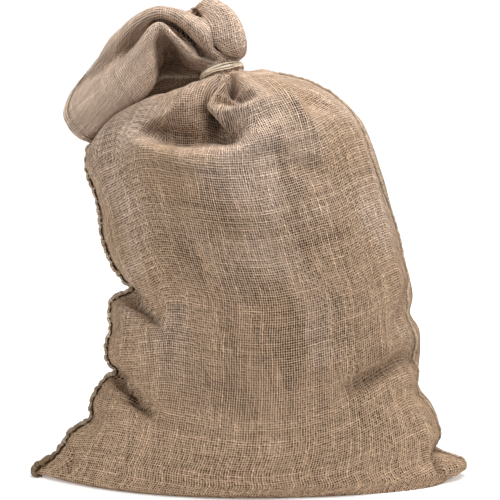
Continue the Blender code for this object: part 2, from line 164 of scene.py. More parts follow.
STRANDS = (-0.0021, 0.0000, 0.0019)   # where the tie's flat strands lie along the neck
STRAND_WIDE = 0.0012      # half widths
STRAND_THICK = 0.0007
RIBBON_SIDES = 10
STRAND_STEPS = 160
STRAND_WAVE = 0.0004      # how far a strand waves along the neck
STRAND_CROSS = 0.0006     # and how far it slants across its neighbours
STRAND_SQUEEZE = 0.12     # how much closer the strands lie at the left, and wider apart at the right
STRAND_SWELL = 0.18       # how much wider and narrower a strand gets, three times round
STRAND_OUT = 1.2          # how far out its middle lies, of its thickness, and every other one further
STRAND_OVER = 0.7
PLEAT_FILLED = 0.6        # the strands rest at this share of the pleats' height
SLACK_AT = 0.31           # where the lowest strand is slack, and over how much of the way round
SLACK_OVER = 0.08
SLACK_LOW = 0.0024
SLACK_OUT = 0.0014
SLACK_NARROW = 0.45       # share of its width that it loses there
TUBE_SIDE = (0.31, 0.22, 0.93)   # a tube's rings start from here
TINY = 1e-12              # keeps a length from being nothing
BEND_LEAST = 1e-9         # and a bend
TIE_SEED = 12
OUT_STEP = 0.05           # a step outwards, which gives the strands' direction

# The weave's looks. Shares are of a thread's pitch.
WARP_HALF = 0.250         # half a thread's width
WEFT_HALF = 0.215
THREAD_UNEVEN = 0.05      # between one thread and another
SLUB_SWELL = 0.26         # along a thread
SLUB_APART = 3.7
SLUB_RATE = 0.18
DRIFT = 0.7               # how far the threads wander
DRIFT_SCALE = 38.0
OVER_HIGH = 0.28          # how far a thread rises over another
WARP_PAINTED_PALER = 1.06         # how much paler the warp is painted than the weft: painted light, since the top light picks out only the weft
HOLE_LEVEL = -1.2
PAINTED_LIGHT_MIDDLE = 0.42        # the cloth is painted paler upwards from here and browner below: painted light and shade
PAINTED_LIGHT_SLOPE = 0.7
# how much the painted shade in creases darkens the cloth
PAINTED_SHADE_STRENGTH = 0.72
THREAD_TONE = 0.94        # brightness of most threads
RARE = 4.0                # how few differ: a power of their chance
RARE_PALE = 0.30
RARE_DARK = 0.20
SCATTER = (17.31, 5.77)   # makes one number of a square's two
BAND_LONG = 7.0           # swells in each metre along a band of closer weave
BAND_NARROW = 60.0        # and across it
CLOSED_SPAN = (0.38, 0.57)  # of the noise, from the open weave to the closed
CLOSER_THERE = 0.10       # what the sides and the foot add to it
CLOSER_COLLAR = 0.6
LOOSE = (1.20, 0.89)      # how thin the threads get where the weave is open, and where it is closed
GAP_LOOSE = (0.84, 1.65)  # and at most squares, and at the few with the widest gaps
GAP_RARE = 2.5
CLOTH_BUMP = 0.0003       # metres of relief
TWINE_BUMP = 0.0005
FIBRE_BUMP = 0.0004       # of the straw and the hem's thread

# Noise in the looks, in swells for each metre.
CLOTH_PATCHES = 20.0
CLOTH_TONES = 9.0
CLOTH_SPECKS = 330.0
CLOTH_FIBRES = 2600.0
TWINE_PATCHES = 130.0
TWINE_FIBRES = 1500.0
TWINE_RAGS = 240.0
STRAW_PATCHES = 120.0
STRAW_FIBRES = 900.0
THREAD_PATCHES = 160.0
THREAD_FIBRES = 2400.0
FLOOR_PATCHES = 3.0

# Where the looks change, in metres: first on the flat cloth, then on the sack.
SIDES_FROM = (0.06, 0.17)       # from the middle of the front, the weave closes up
FOOT_TO = (0.04, 0.16)          # up from the bottom, it is no longer closer
COLLAR_FROM = (0.40, 0.43)      # upwards, a bound edge is the collar's, painted paler as painted light
RIGHT_FROM = (-0.02, 0.02)      # across, it is the right-hand one
CORNER_FROM = (-0.205, -0.225)  # to the left, it is dirty
LOW_FROM = (0.15, 0.09)         # downwards, the left-hand one is dirtier
PAINTED_LIT_FROM = (-0.03, -0.05)    # to the left, the collar's is painted paler still: a painted highlight on the roll in the shaded hollow

# Colours, linear.
JUTE_PALE = (0.70, 0.54, 0.43, 1)
JUTE_BROWN = (0.545, 0.383, 0.258, 1)
# collar cloth painted paler: painted light
JUTE_COLLAR_LIT = (0.77, 0.59, 0.465, 1)
# painted shade of the weave: the threads' flanks and the holes
FLANK_SHADE_OPEN = (0.20, 0.105, 0.05, 1)
FLANK_SHADE_CLOSED = (0.34, 0.205, 0.118, 1)
HOLE_SHADE_OPEN = (0.006, 0.003, 0.002, 1)
HOLE_SHADE_CLOSED = (0.03, 0.015, 0.008, 1)
# colour of the painted shade
PAINTED_SHADE_COLOUR = (0.045, 0.026, 0.014, 1)
TWINE_LEFT = ((0.44, 0.33, 0.225, 1), (0.78, 0.66, 0.52, 1))
TWINE_RIGHT = ((0.50, 0.38, 0.27, 1), (0.66, 0.52, 0.39, 1))
TWINE_BETWEEN = ((0.30, 0.21, 0.13, 1), (0.42, 0.31, 0.21, 1))   # at the left and the right
TWINE_PAINTED_LIT = (0.85, 0.74, 0.60, 1)
TWINE_DIRT = (0.12, 0.07, 0.035, 1)
# painted shade where the roll meets the cloth
ROLL_CREASE_SHADE = (0.055, 0.027, 0.011, 1)
STRAW_PALE = ((0.88, 0.74, 0.57, 1), (0.97, 0.88, 0.74, 1))
STRAW_BROWN = (0.64, 0.48, 0.32, 1)
THREAD_BROWN = ((0.17, 0.10, 0.045, 1), (0.11, 0.062, 0.028, 1))
THREAD_FIBRE = (0.10, 0.07, 0.04, 1)
FLOOR_WHITE = ((0.93, 0.93, 0.93, 1), (0.95, 0.95, 0.95, 1))

# The view.
VIEW_DISTANCE = 2.2
VIEW_RISE = 10.0          # degrees above the horizon
VIEW_TARGET = (0.0, 0.0, 0.256)
VIEW_WIDE = 0.562         # metres across at the target
SENSOR = 36.0
VIEW_SHIFT = -0.001
FLOOR_GLOW = 0.8          # the white studio floor behind the sack lights itself, as a lit table does
GLOW_FROM = (-0.5, 0.8)
FLOOR_HALF = 30.0
WORLD_LIGHT = 0.27
LIGHT_AIM = (0, 0, 0.28)
LIGHTS = (                # name, place, size and power
    ("top", (0.20, -0.24, 1.74), 1.2, 27.5),
    ("left_side", (-1.8, -0.60, 1.3), 1.4, 10.5),
    ("right_side", (2.0, -0.20, 1.4), 1.4, 13.5),
)

# The filled body, a row for each section, in millimetres. left and right are the seams' places, front
# and back the depths of the middle, and seam is how far back the seams lie. A corner of 1 is round and
# 2 is drawn out to a point. The bulk follows the sections smoothed, and the seams follow each row.
SECTION_NAMES = ("height", "left", "right", "front", "back", "seam", "left_corner", "right_corner")
SECTIONS = (
    (0, -226, 225, 109, 98, -30, 1.7, 0.8),
    (5, -244, 236, 114, 103, -28, 1.8, 1.1),
    (12, -239, 246, 117, 107, -25, 1.8, 1.2),
    (18, -228, 243, 119, 109, -22, 1.7, 1.2),
    (24, -221, 227, 120, 111, -20, 1.6, 1.1),
    (28, -218, 212, 120, 112, -17, 1.6, 1.0),
    (31, -216, 210, 120, 113, -14, 1.6, 0.9),
    (35, -213, 213, 121, 114, -12, 1.5, 0.9),
    (47, -206, 219, 122, 116, -8, 1.4, 1.0),
    (60, -185, 217, 123, 118, -5, 1.3, 1.0),
    (80, -182, 209, 124, 119, -3, 1.2, 1.0),
    (95, -176, 197, 124, 120, -1, 1.2, 1.1),
    (106, -167, 193, 124, 120, 0, 1.2, 1.1),
    (117, -155, 194, 124, 120, 0, 1.2, 1.1),
    (128, -162, 195, 124, 121, 0, 1.2, 1.1),
    (145, -164, 195, 124, 121, 0, 1.2, 1.1),
    (165, -159, 193, 124, 121, 0, 1.2, 1.1),
    (185, -160, 184, 123, 121, 0, 1.2, 1.2),
    (199, -156, 187, 123, 120, 0, 1.2, 1.1),
    (210, -137, 187, 122, 120, 0, 1.2, 1.1),
    (222, -144, 184, 121, 119, 0, 1.2, 1.1),
    (245, -159, 176, 120, 118, 0, 1.2, 1.1),
    (270, -167, 170, 119, 116, 0, 1.2, 1.1),
    (300, -169, 162, 117, 113, 0, 1.2, 1.1),
    (325, -176, 155, 115, 109, 0, 1.2, 1.1),
    (350, -185, 147, 111, 104, 0, 1.2, 1.1),
    (369, -184, 141, 106, 97, 0, 1.2, 1.1),
)

# Folds of the filled cloth, in millimetres: a ridge stands out, a trough goes in. The widths are on
# the left and the right of the fold as it runs along its points, and an edge of 1 is a sharp crease.
FOLD_NAMES = ("name", "depth", "left_width", "right_width", "edge", "points")
FOLDS = (
    ("collar_bed", -32, 28, 28, 2, ((-72, 24, 440), (-115, 22, 430), (-155, 14, 404), (-186, 10, 372))),
    ("left_shoulder", 13, 18, 20, 2, (
        (-190, -22, 362), (-172, -28, 388), (-152, -34, 406), (-122, -38, 424), (-94, -40, 436))),
    ("pocket", -38, 30, 16, 2, ((-118, -76, 406), (-86, -84, 396), (-49, -86, 391), (-10, -86, 393))),
    ("pocket_end", -18, 14, 12, 2, ((-38, -80, 398), (-18, -86, 392), (-4, -88, 390))),
    ("pocket_lip", 14, 9, 15, 2, (
        (-118, -60, 405), (-128, -72, 400), (-116, -90, 392), (-78, -101, 390), (-40, -102, 391),
        (-8, -102, 390), (10, -98, 396), (14, -96, 405))),
    ("shoulder_ridge", 9, 10, 10, 2, ((15, -18, 459), (34, -50, 439), (53, -75, 422), (78, -92, 395))),
    ("shoulder_hollow", -12, 15, 15, 2, ((40, -26, 452), (59, -45, 436), (82, -60, 418))),
    ("shoulder_cross", 3, 10, 10, 2, ((72, -75, 409), (91, -60, 411), (114, -35, 409))),
    ("under_lip_left", -5, 14, 20, 2, ((-110, -102, 364), (-74, -110, 352), (-32, -112, 354))),
    ("under_lip_right", -4, 12, 16, 2, ((12, -108, 384), (52, -108, 372), (95, -100, 358))),
    ("notch_upper", -10, 7, 8, 1.4, (
        (-139, -12, 212), (-126, -48, 211), (-108, -78, 200), (-89, -98, 189))),
    ("notch_lower", -13, 7, 8, 1.4, (
        (-156, -12, 118), (-143, -48, 115), (-120, -80, 102), (-93, -102, 88))),
    ("notch_small", -5, 6, 6, 1.4, ((-176, -10, 98), (-150, -45, 99), (-130, -72, 101))),
    ("right_crease", -6, 9, 10, 1.6, (
        (192, -12, 132), (170, -50, 138), (140, -80, 132), (110, -98, 124), (88, -106, 116))),
    ("right_low", -4, 8, 8, 1.6, ((193, -12, 93), (176, -50, 95), (157, -72, 102))),
    ("right_high", -3, 9, 9, 1.6, ((184, -12, 190), (166, -48, 184), (145, -72, 174))),
    ("back_upper", -8, 14, 14, 2, ((-120, 80, 300), (-60, 108, 280), (20, 112, 292), (80, 98, 270))),
    ("back_lower", -7, 14, 14, 2, ((-130, 80, 150), (-50, 112, 128), (40, 116, 140), (110, 96, 118))),
    ("back_gather_left", -11, 9, 9, 2, ((-50, 22, 452), (-66, 56, 428), (-84, 84, 392))),
    ("back_gather_mid", -12, 9, 9, 2, ((-28, 24, 456), (-20, 60, 432), (-10, 92, 388))),
    ("back_gather_right", -11, 9, 9, 2, ((-10, 20, 460), (26, 50, 438), (62, 76, 396))),
)

# Smaller creases of the same kind, laid over those. Their troughs also get painted shade.
CREASES = (
    ("left_rim", 7, 5, 9, 2, (
        (-53, -36, 446), (-62, -43, 442), (-68, -51, 438), (-72, -59, 428), (-82, -58, 419),
        (-98, -55, 412), (-116, -56, 404))),
    ("neck_shoulder", 4, 9, 9, 2, ((-44, -8, 453), (-56, -12, 449), (-72, -14, 442))),
    ("pocket_deep", -5, 9, 6, 2, ((-122, -66, 398), (-100, -60, 396), (-78, -58, 393), (-55, -62, 391))),
    ("ear_right", -12, 4, 4, 2, ((207, -36, 37), (209, -52, 28), (211, -58, 19), (215, -60, 8))),
    ("ear_puff", 3, 10, 10, 2, ((220, -44, 26), (226, -45, 20), (226, -46, 12))),
    ("ear_left", -7, 4, 4, 2, ((-212, -40, 38), (-211, -50, 28), (-208, -56, 14))),
    ("right_fold_low", -8, 8, 13, 2, ((188, -20, 136), (169, -50, 143), (129, -88, 128), (102, -103, 115))),
    ("right_fold_high", -5, 9, 12, 2, ((184, -12, 214), (175, -35, 206), (158, -62, 179))),
    ("notch_deep", -16, 3.5, 8, 2, ((-154, -10, 118), (-142, -44, 110), (-126, -70, 100), (-106, -92, 89))),
    ("notch_top", -12, 3.5, 8, 2, ((-139, -10, 212), (-130, -40, 208), (-116, -66, 200), (-100, -88, 186))),
    ("left_fold", 5, 6, 6, 2, ((-42, -26, 454), (-50, -48, 445), (-57, -58, 436), (-63, -62, 427))),
    ("left_crease", -13, 3, 4, 2, (
        (-34, -32, 454), (-39, -56, 443), (-46, -66, 432), (-50, -68, 422), (-49, -69, 414))),
    ("narrow_fold", 9, 4.5, 4, 3, (
        (-29, -30, 454), (-29, -54, 446), (-33, -66, 438), (-40, -70, 430), (-45, -71, 423))),
    ("right_hollow", -23, 5.5, 4, 2, ((-25, -30, 457), (-23, -46, 451), (-21, -57, 444), (-17, -66, 437))),
    ("hollow_foot", -8, 5, 5, 2, ((-24, -66, 438), (-12, -70, 435), (1, -71, 434))),
    ("right_fold", 6, 7, 4, 2, ((-16, -38, 455), (-10, -54, 447), (1, -65, 439), (11, -70, 433))),
    ("cup", -9, 7, 4, 2, ((-33, -74, 429), (-20, -75, 428), (-6, -76, 429))),
    ("shelf", 8, 4, 9, 2, (
        (-42, -72, 423), (-29, -76, 422), (-11, -79, 423), (8, -73, 429), (26, -66, 435))),
    ("wall_shade", -25, 4, 9, 2, ((-46, -66, 418), (-39, -68, 409), (-33, -68, 401), (-27, -66, 394))),
    ("wall_edge", 6, 8, 4, 2, ((-42, -73, 421), (-34, -76, 411), (-27, -74, 402), (-21, -71, 394))),
)

# Painted shadow of the collar on the shoulder under it, given as creases that aren't there: they only
# darken the cloth.
COLLAR_SHADOWS = (
    ("under_collar", -9, 26, 24, 2, (
        (-80, -44, 438), (-120, -44, 420), (-150, -38, 402), (-174, -30, 384))),
)

# Creases of the open collar. Their troughs also get painted shade.
COLLAR_CREASES = (
    ("lobe", 16, 15, 15, 2, (
        (-49, 4, 519), (-41, 0, 509), (-34, -5, 498), (-28, -11, 487), (-24, -14, 477))),
    ("lobe_split", -11, 4, 7, 2, (
        (-68, 24, 524), (-62, 15, 518), (-57, 8, 511), (-49, 2, 500), (-41, 0, 488), (-34, -8, 476))),
    ("arch_roll", 5, 9, 10, 2, (
        (-143, -12, 490), (-134, -11, 505), (-121, -11, 516), (-104, -14, 523), (-88, -16, 521),
        (-72, -16, 511), (-59, -13, 498), (-48, -12, 484))),
    ("layer_crease", -13, 5, 4, 2, (
        (-104, -8, 510), (-94, -4, 510), (-84, -1, 505), (-72, 1, 494), (-61, -4, 483), (-53, -10, 474))),
    ("layer", 4, 2.5, 2.5, 2, (
        (-98, -12, 511), (-87, -8, 506), (-76, -6, 497), (-65, -8, 486), (-57, -12, 477))),
    ("dip", -8, 9, 8, 2, ((-142, -12, 476), (-130, -10, 486), (-118, -20, 496))),
    ("ridge_sharp", 2, 6, 6, 2, (
        (-66, -17, 474), (-77, -28, 491), (-90, -29, 505), (-104, -31, 511), (-111, -35, 502),
        (-110, -35, 488), (-109, -29, 474), (-108, -22, 460), (-107, -16, 446))),
    ("cavity_wall", -10, 9, 5, 2, (
        (-101, -10, 492), (-101, 0, 480), (-101, 2, 468), (-101, 6, 456), (-101, 10, 448))),
)

# The collar, in millimetres: a row for each run of the cloth from the neck out to the hem, and where
# it starts round the neck (0 the left seam, 0.25 the front, 0.5 the right seam, 0.75 the back).
COLLAR_NAMES = ("name", "around", "root", "rise", "crest", "fall", "hem")
COLLAR = (
    ("left_seam", 0.00, (-63, 14, 450), (-94, 22, 449), (-112, 20, 441), (-142, 10, 402), (-180, 4, 378)),
    ("hollow", 0.06, (-67, 8, 459), (-92, 42, 468), (-107, -20, 442), (-150, -24, 404), (-190, -20, 386)),
    ("ridge_under", 0.12, (-67, -4, 468), (-90, 18, 485), (-108, -32, 486),
     (-157, -34, 433), (-200, -26, 399)),
    ("front_ridge", 0.18, (-65, -21, 477), (-85, -32, 499), (-103, -30, 510),
     (-151, -26, 460), (-206, -14, 413)),
    ("front_crease", 0.24, (-49, -5, 474), (-67, 2, 489), (-94, 0, 507), (-135, -10, 481), (-198, -6, 434)),
    ("arch_front", 0.29, (-42, -14, 479), (-58, -18, 503), (-93, -16, 522),
     (-138, -12, 501), (-186, -4, 449)),
    ("arch_top", 0.34, (-40, -12, 481), (-52, -6, 509), (-94, 0, 528), (-146, 6, 502), (-173, 8, 464)),
    ("arch_back", 0.385, (-38, -1, 482), (-53, 14, 512), (-92, 24, 525), (-141, 26, 496), (-168, 22, 463)),
    ("top_crease", 0.425, (-29, 5, 476), (-47, 10, 499), (-65, 26, 512), (-101, 40, 511), (-136, 46, 495)),
    ("loop_front", 0.46, (-19, -13, 483), (-31, -14, 518), (-49, 4, 530), (-61, 22, 524), (-80, 36, 511)),
    ("loop_right", 0.52, (-9, -8, 481), (-13, -4, 512), (-32, 14, 531), (-53, 40, 526), (-72, 54, 512)),
    ("back_right", 0.60, (-6, 10, 477), (-14, 22, 501), (-32, 44, 514), (-58, 64, 512), (-92, 72, 498)),
    ("back", 0.72, (-21, 22, 470), (-30, 42, 488), (-57, 62, 498), (-103, 66, 487), (-148, 56, 458)),
    ("back_low", 0.84, (-43, 26, 461), (-62, 50, 468), (-94, 62, 472), (-138, 56, 452), (-174, 36, 416)),
    ("under_back", 0.93, (-57, 26, 443), (-86, 35, 427), (-112, 36, 420), (-146, 32, 400), (-178, 18, 376)),
)
COLLAR_RUN = (0.0, 0.11, 0.27, 0.46, 0.72, 1.0)   # where the neck and those five points lie along it

# Where the gathered cloth folds away on itself, so that its threads don't run across.
DOME_SPLITS = (0.0, 0.13, 0.235, 0.29, 0.37, 0.5, 0.62, 0.74, 0.87, 1.0)
COLLAR_SPLITS = (0.0, 0.06, 0.24, 0.425, 0.5, 0.6, 0.72, 0.85, 1.0)


# How far a seam has slipped round to the front at a height, in millimetres: not at all, and the right one.
STRAIGHT = ((0, 0), (600, 0))
SLIPPED = (
    (0, 0), (32, 0), (60, 12), (85, 18), (112, 12), (135, 20), (165, 26), (200, 26), (222, 12), (260, 6),
    (300, 12), (335, 24), (372, 28), (405, 20), (432, 6), (450, 0),
)


def column(rows, names, name):
    """One column of a table, by its name."""
    place = names.index(name)
    return [row[place] for row in rows]


def bell(away, wide):
    """A bump of height 1 that falls off over a width."""
    return np.exp(-((away / wide) ** 2))


def ring_angles(sides):
    """Where the points of a small ring lie round it, in radians."""
    return np.arange(sides) * 2 * math.pi / sides


def rightward(around):
    """From 0 at the left seam to 1 at the right."""
    return (1 - np.cos(2 * math.pi * around)) / 2


def nearest_column(around, fraction):
    """The column that lies nearest to a fraction of the way round."""
    return int(np.argmin(np.abs(around - fraction)))


def closed_ring(around):
    """The same fractions with the start once more at the end."""
    return np.concatenate([around, [1.0]])


def hermite(places, values, at):
    """A smooth curve through rows of values, read at the given places."""
    places = np.asarray(places, float)
    values = np.asarray(values, float)
    slopes = np.gradient(values, places, axis=0)
    low = np.clip(np.searchsorted(places, at, side="right") - 1, 0, len(places) - 2)
    step = (places[low + 1] - places[low]).reshape((-1,) + (1,) * (values.ndim - 1))
    t = ((at - places[low]) / (places[low + 1] - places[low])).reshape(step.shape)
    return (
        (2 * t**3 - 3 * t**2 + 1) * values[low]
        + (t**3 - 2 * t**2 + t) * step * slopes[low]
        + (3 * t**2 - 2 * t**3) * values[low + 1]
        + (t**3 - t**2) * step * slopes[low + 1]
    )


def section(height, smooth=0.0):
    """The row of sizes at a height, in metres but for the corners, averaged over a stretch if asked."""
    heights = column(SECTIONS, SECTION_NAMES, "height")
    rows = [row[1:] for row in SECTIONS]
    offset = np.linspace(-1, 1, BULK_SAMPLES)
    stretch = np.clip(offset * smooth + height, 0, heights[-1] / 1000)
    weights = np.exp(-BULK_FALL * offset**2)
    row = np.average(hermite(heights, rows, stretch * 1000), axis=0, weights=weights)
    return row * np.array([0.001] * 5 + [1, 1])


def half_ring(left, right, depth, seam, corners):
    """Half a section from the left seam to the right, with the distance run at each sample."""
    angle = np.linspace(0, math.pi, RING_SAMPLES)
    share = (1 - np.cos(angle)) / 2
    bulge = np.sin(angle) ** (corners[0] + (corners[1] - corners[0]) * share)
    x = left + (right - left) * share
    y = seam * (1 - bulge) + depth * bulge
    return x, y, np.concatenate([[0], np.cumsum(np.hypot(np.diff(x), np.diff(y)))])


def body_ring(height, around):
    """The body's section at a height, read at fractions of the way round from the left seam."""
    smooth = BULK_SMOOTH * min(1, height / BULK_FLARE)
    left, right, front, back, seam, *corners = section(height, smooth)
    edges = section(height)[:2] - (left, right)
    ring = np.zeros((len(around), 3))
    for half, depth, start in ((around <= 0.5, -front, 0.0), (around > 0.5, back, 1.0)):
        x, y, run = half_ring(left + SEAM_PROUD, right - SEAM_PROUD, depth, seam, corners)
        place = 2 * np.abs(around[half] - start) * run[-1]
        pull = edges[0] * bell(place, SEAM_REACH)
        pull += edges[1] * bell(run[-1] - place, SEAM_REACH)
        ring[half, 0] = np.interp(place, run, x) + pull
        ring[half, 1] = np.interp(place, run, y)
    ring[:, 2] = height
    return ring


def neck_axes():
    """The neck's directions: along its width, its depth and its length."""
    left = math.radians(NECK_LEAN_LEFT)
    back = math.radians(NECK_LEAN_BACK)
    wide = np.array([math.cos(left), 0, math.sin(left)])
    axis = np.array([-math.sin(left) * math.cos(back), math.sin(back), math.cos(left) * math.cos(back)])
    return np.array([wide, np.cross(axis, wide), axis])


def oval(around, along, extra):
    """An oval in the neck's own directions, at distances along it and with extra radius."""
    angle = 2 * math.pi * np.asarray(around)
    across = -(NECK_WIDE + extra) * np.cos(angle)
    forward = -(NECK_DEEP + extra) * np.sin(angle)
    return np.column_stack([across, forward, np.broadcast_to(along, angle.shape)])


def neck_oval(around, along, extra):
    """The same oval in the sack's place."""
    return np.array(NECK) + oval(around, along, extra) @ neck_axes()


def neck_ring(around, along):
    """The gathered cloth at the neck, a fluted oval."""
    flute = PLEAT_DEEP * np.cos(PLEATS * 2 * math.pi * around)
    return neck_oval(around, along, flute)


def dome_rows(around, steps):
    """Rings from the shoulder up and in to the neck."""
    shoulder = body_ring(SECTIONS[-1][0] / 1000, around)
    neck = neck_ring(around, -NECK_HALF)
    curve = DOME_CURVE[0] + (DOME_CURVE[1] - DOME_CURVE[0]) * rightward(around)
    rows = []
    for step in steps:
        turn = DOME_START + step * (math.pi / 2 - DOME_START)
        start = math.sin(DOME_START) ** (2 / curve)
        inward = (math.cos(turn) / math.cos(DOME_START)) ** (2 / curve)
        upward = (math.sin(turn) ** (2 / curve) - start) / (1 - start)
        ring = neck + (shoulder - neck) * inward[:, None]
        ring[:, 2] = shoulder[:, 2] + (neck[:, 2] - shoulder[:, 2]) * upward
        rows.append(ring)
    return rows


def collar_rows(around, steps):
    """Rings of the open collar from the neck to its hem."""
    start = neck_oval(around, NECK_HALF, 0)
    places = column(COLLAR, COLLAR_NAMES, "around")
    stations = [start]
    for station in COLLAR_NAMES[2:]:
        points = np.array(column(COLLAR, COLLAR_NAMES, station)) / 1000.0
        wrapped = np.concatenate([points[-3:], points, points[:3]])
        at = np.concatenate([np.array(places[-3:]) - 1, places, np.array(places[:3]) + 1])
        stations.append(hermite(at, wrapped, around))
    stations = np.array(stations)
    flat = hermite(COLLAR_RUN, stations.reshape(len(stations), -1), np.asarray(steps))
    return list(flat.reshape(len(steps), len(around), 3))


def unit(vectors):
    """The same directions with a length of 1."""
    return vectors / np.maximum(np.linalg.norm(vectors, axis=-1, keepdims=True), TINY)


def normals_of(grid):
    """Outward directions of a grid of rings, averaged over the faces that meet at each point."""
    after = np.roll(grid, -1, axis=1)
    face = np.cross(after[1:] - grid[:-1], grid[1:] - after[:-1])
    face = face + np.roll(face, 1, axis=1)
    return unit(np.concatenate([face[:1], face[1:] + face[:-1], face[-1:]]))


def seated(points, path):
    """A fold's points moved onto the nearest cloth, with a smooth curve run through them."""
    seats = [points[np.argmin(np.linalg.norm(points - point, axis=1))] for point in path]
    return hermite(np.arange(len(seats)), np.array(seats), np.linspace(0, len(seats) - 1, FOLD_SAMPLES))


def fold_heights(grid, folds):
    """How far each point of the cloth moves along its normal."""
    points = grid.reshape(-1, 3)
    normals = normals_of(grid).reshape(-1, 3)
    moved = np.zeros(len(points))
    for row in folds:
        fold = dict(zip(FOLD_NAMES, row))
        path = seated(points, np.array(fold["points"]) / 1000)
        reach = 3 * max(fold["left_width"], fold["right_width"]) / 1000
        near = np.all((points > path.min(axis=0) - reach) & (points < path.max(axis=0) + reach), axis=1)
        near = np.flatnonzero(near)
        gaps = points[near, None] - path[None]
        nearest = np.argmin((gaps**2).sum(axis=2), axis=1)
        gap = gaps[np.arange(len(near)), nearest]
        run = np.gradient(path, axis=0)[nearest]
        side = (np.cross(run, gap) * normals[near]).sum(axis=1)
        side /= np.maximum(np.linalg.norm(run, axis=1) * np.linalg.norm(gap, axis=1), TINY)
        width = (fold["left_width"] * (1 + side) + fold["right_width"] * (1 - side)) / 2000
        along = (nearest + 0.5) / FOLD_SAMPLES
        fade = np.sqrt(np.sin(math.pi * np.clip(FOLD_END + along * (1 - FOLD_END), 0, 1)))
        away = np.linalg.norm(gap, axis=1) / width
        moved[near] += fold["depth"] / 1000 * fade * np.exp(-(away ** fold["edge"]))
    return moved.reshape(grid.shape[:2])


def columns():
    """Fractions round the sack, with many at each seam."""
    seam = np.array(SEAM_COLUMNS)
    seam = np.concatenate([-seam[1:], seam])
    front = np.linspace(0, 0.5, FRONT_COLUMNS + 1)
    back = np.linspace(0.5, 1, BACK_COLUMNS + 1)
    clear = SEAM_COLUMNS[-1] * SEAM_CLEAR
    front = front[(front > clear) & (front < 0.5 - clear)]
    back = back[(back > 0.5 + clear) & (back < 1 - clear)]
    return np.unique(np.round(np.concatenate([seam % 1, 0.5 + seam, front, back]), 6))


def seam_heights(around, grid):
    """How far the sewn edge along both sides stands out."""
    heights = np.zeros(grid.shape[:2])
    for seam in (0.0, 0.5):
        place = nearest_column(around, seam)
        gap = np.linalg.norm(grid - grid[:, place:place + 1], axis=2)
        heights += SEAM_PROUD * SEAM_FLAT * bell(gap, SEAM_WIDE)
    return heights


def crease_shade_of(creases):
    """How much painted shade each point gets, from how deep it lies in a crease."""
    return np.clip(-creases / CREASE_SHADE_DEPTH, 0, 1)


def run_of(points, axis):
    """Distance run along an axis of a grid of points, from 0 at its start."""
    step = np.linalg.norm(np.diff(points, axis=axis), axis=-1)
    return np.insert(np.cumsum(step, axis=axis), 0, 0, axis=axis)


def run_along(grid):
    """Distance run up each column from its first ring."""
    return run_of(grid, 0)


def run_across(grid):
    """Distance run round each ring, with one more column for the way back to the start."""
    return run_of(np.concatenate([grid, grid[:, :1]], axis=1), 1)


def gathers(around, grid, away, seed):
    """Uneven pleats that run out from the tie, at distances away from it along the cloth."""
    pick = np.random.default_rng(seed)
    moved = np.zeros(away.shape)
    girth = run_across(grid)[:, -1:]
    for i in range(GATHER_COUNT):
        place = (i + pick.uniform(-GATHER_STRAY, GATHER_STRAY)) / GATHER_COUNT
        wide = pick.uniform(*GATHER_WIDE)
        high = pick.uniform(*GATHER_HIGH) * wide * girth
        reach = pick.uniform(*GATHER_REACH)
        drift = pick.uniform(-GATHER_DRIFT, GATHER_DRIFT)
        gap = (around + drift * away - place + 0.5) % 1 - 0.5
        opened = 1 - bell(away, GATHER_START)
        ridge = bell(gap, wide) - wide * math.sqrt(math.pi)
        moved += high * opened * ridge * bell(away, reach)
    return moved


def swells(grid, layers):
    """Soft noise over the cloth, in layers that each have a height, a size and a seed."""
    total = 0
    for height, size, seed in layers:
        shift = Vector([seed * part for part in SWELL_SHIFT])
        values = [noise.noise(Vector(point) + shift) for point in grid.reshape(-1, 3) / size]
        total = total + height * np.array(values).reshape(grid.shape[:2])
    return total


def body_grid(around):
    """The outside of the filled body, from its flat foot to the middle of the tie, and its painted shade.
    """
    foot = np.linspace(0, FOOT_TOP, FOOT_ROWS + 1)
    rest = np.linspace(FOOT_TOP, SECTIONS[-1][0] / 1000, BODY_ROWS + 1)[1:]
    steps = np.linspace(0, 1, DOME_ROWS + 1)[1:]
    heights = np.concatenate([foot, rest])
    filled = np.array([body_ring(height, around) for height in heights] + dome_rows(around, steps))
    fade = np.ones(len(filled))
    fade[-DOME_ROWS:] = np.clip((1 - steps) / NECK_FADE, 0, 1)
    moved = (fold_heights(filled, FOLDS) + seam_heights(around, filled)) * fade[:, None]
    moved[0] = 0
    folded = filled + normals_of(filled) * moved[:, :, None]
    run = run_along(folded)
    creases = fold_heights(folded, CREASES)
    detail = creases + gathers(around, folded, run[-1] - run, BODY_GATHERS_SEED)
    detail += swells(folded, BODY_SWELLS)
    detail *= fade[:, None] * np.clip(folded[:, :, 2] / FOOT_CALM, 0, 1)
    folded = folded + normals_of(folded) * detail[:, :, None]
    folded[-DOME_ROWS:-DOME_KEPT] = evened(folded, *DOME_EVEN)[-DOME_ROWS:-DOME_KEPT]
    folded[1:, :, 2] = np.maximum(folded[1:, :, 2], FOOT_ROUND)
    folded[0, :, 2] = 0
    shares = np.linspace(0, 1, NECK_ROWS + 1)[1:]
    neck = np.array([neck_ring(around, -NECK_HALF * (1 - share)) for share in shares])
    # painted shade in the creases, and the collar's painted shadow on the shoulder
    painted_shade = crease_shade_of(creases + fold_heights(folded, COLLAR_SHADOWS))
    return np.concatenate([folded, neck]), np.concatenate([painted_shade, np.zeros((NECK_ROWS, len(around)))])


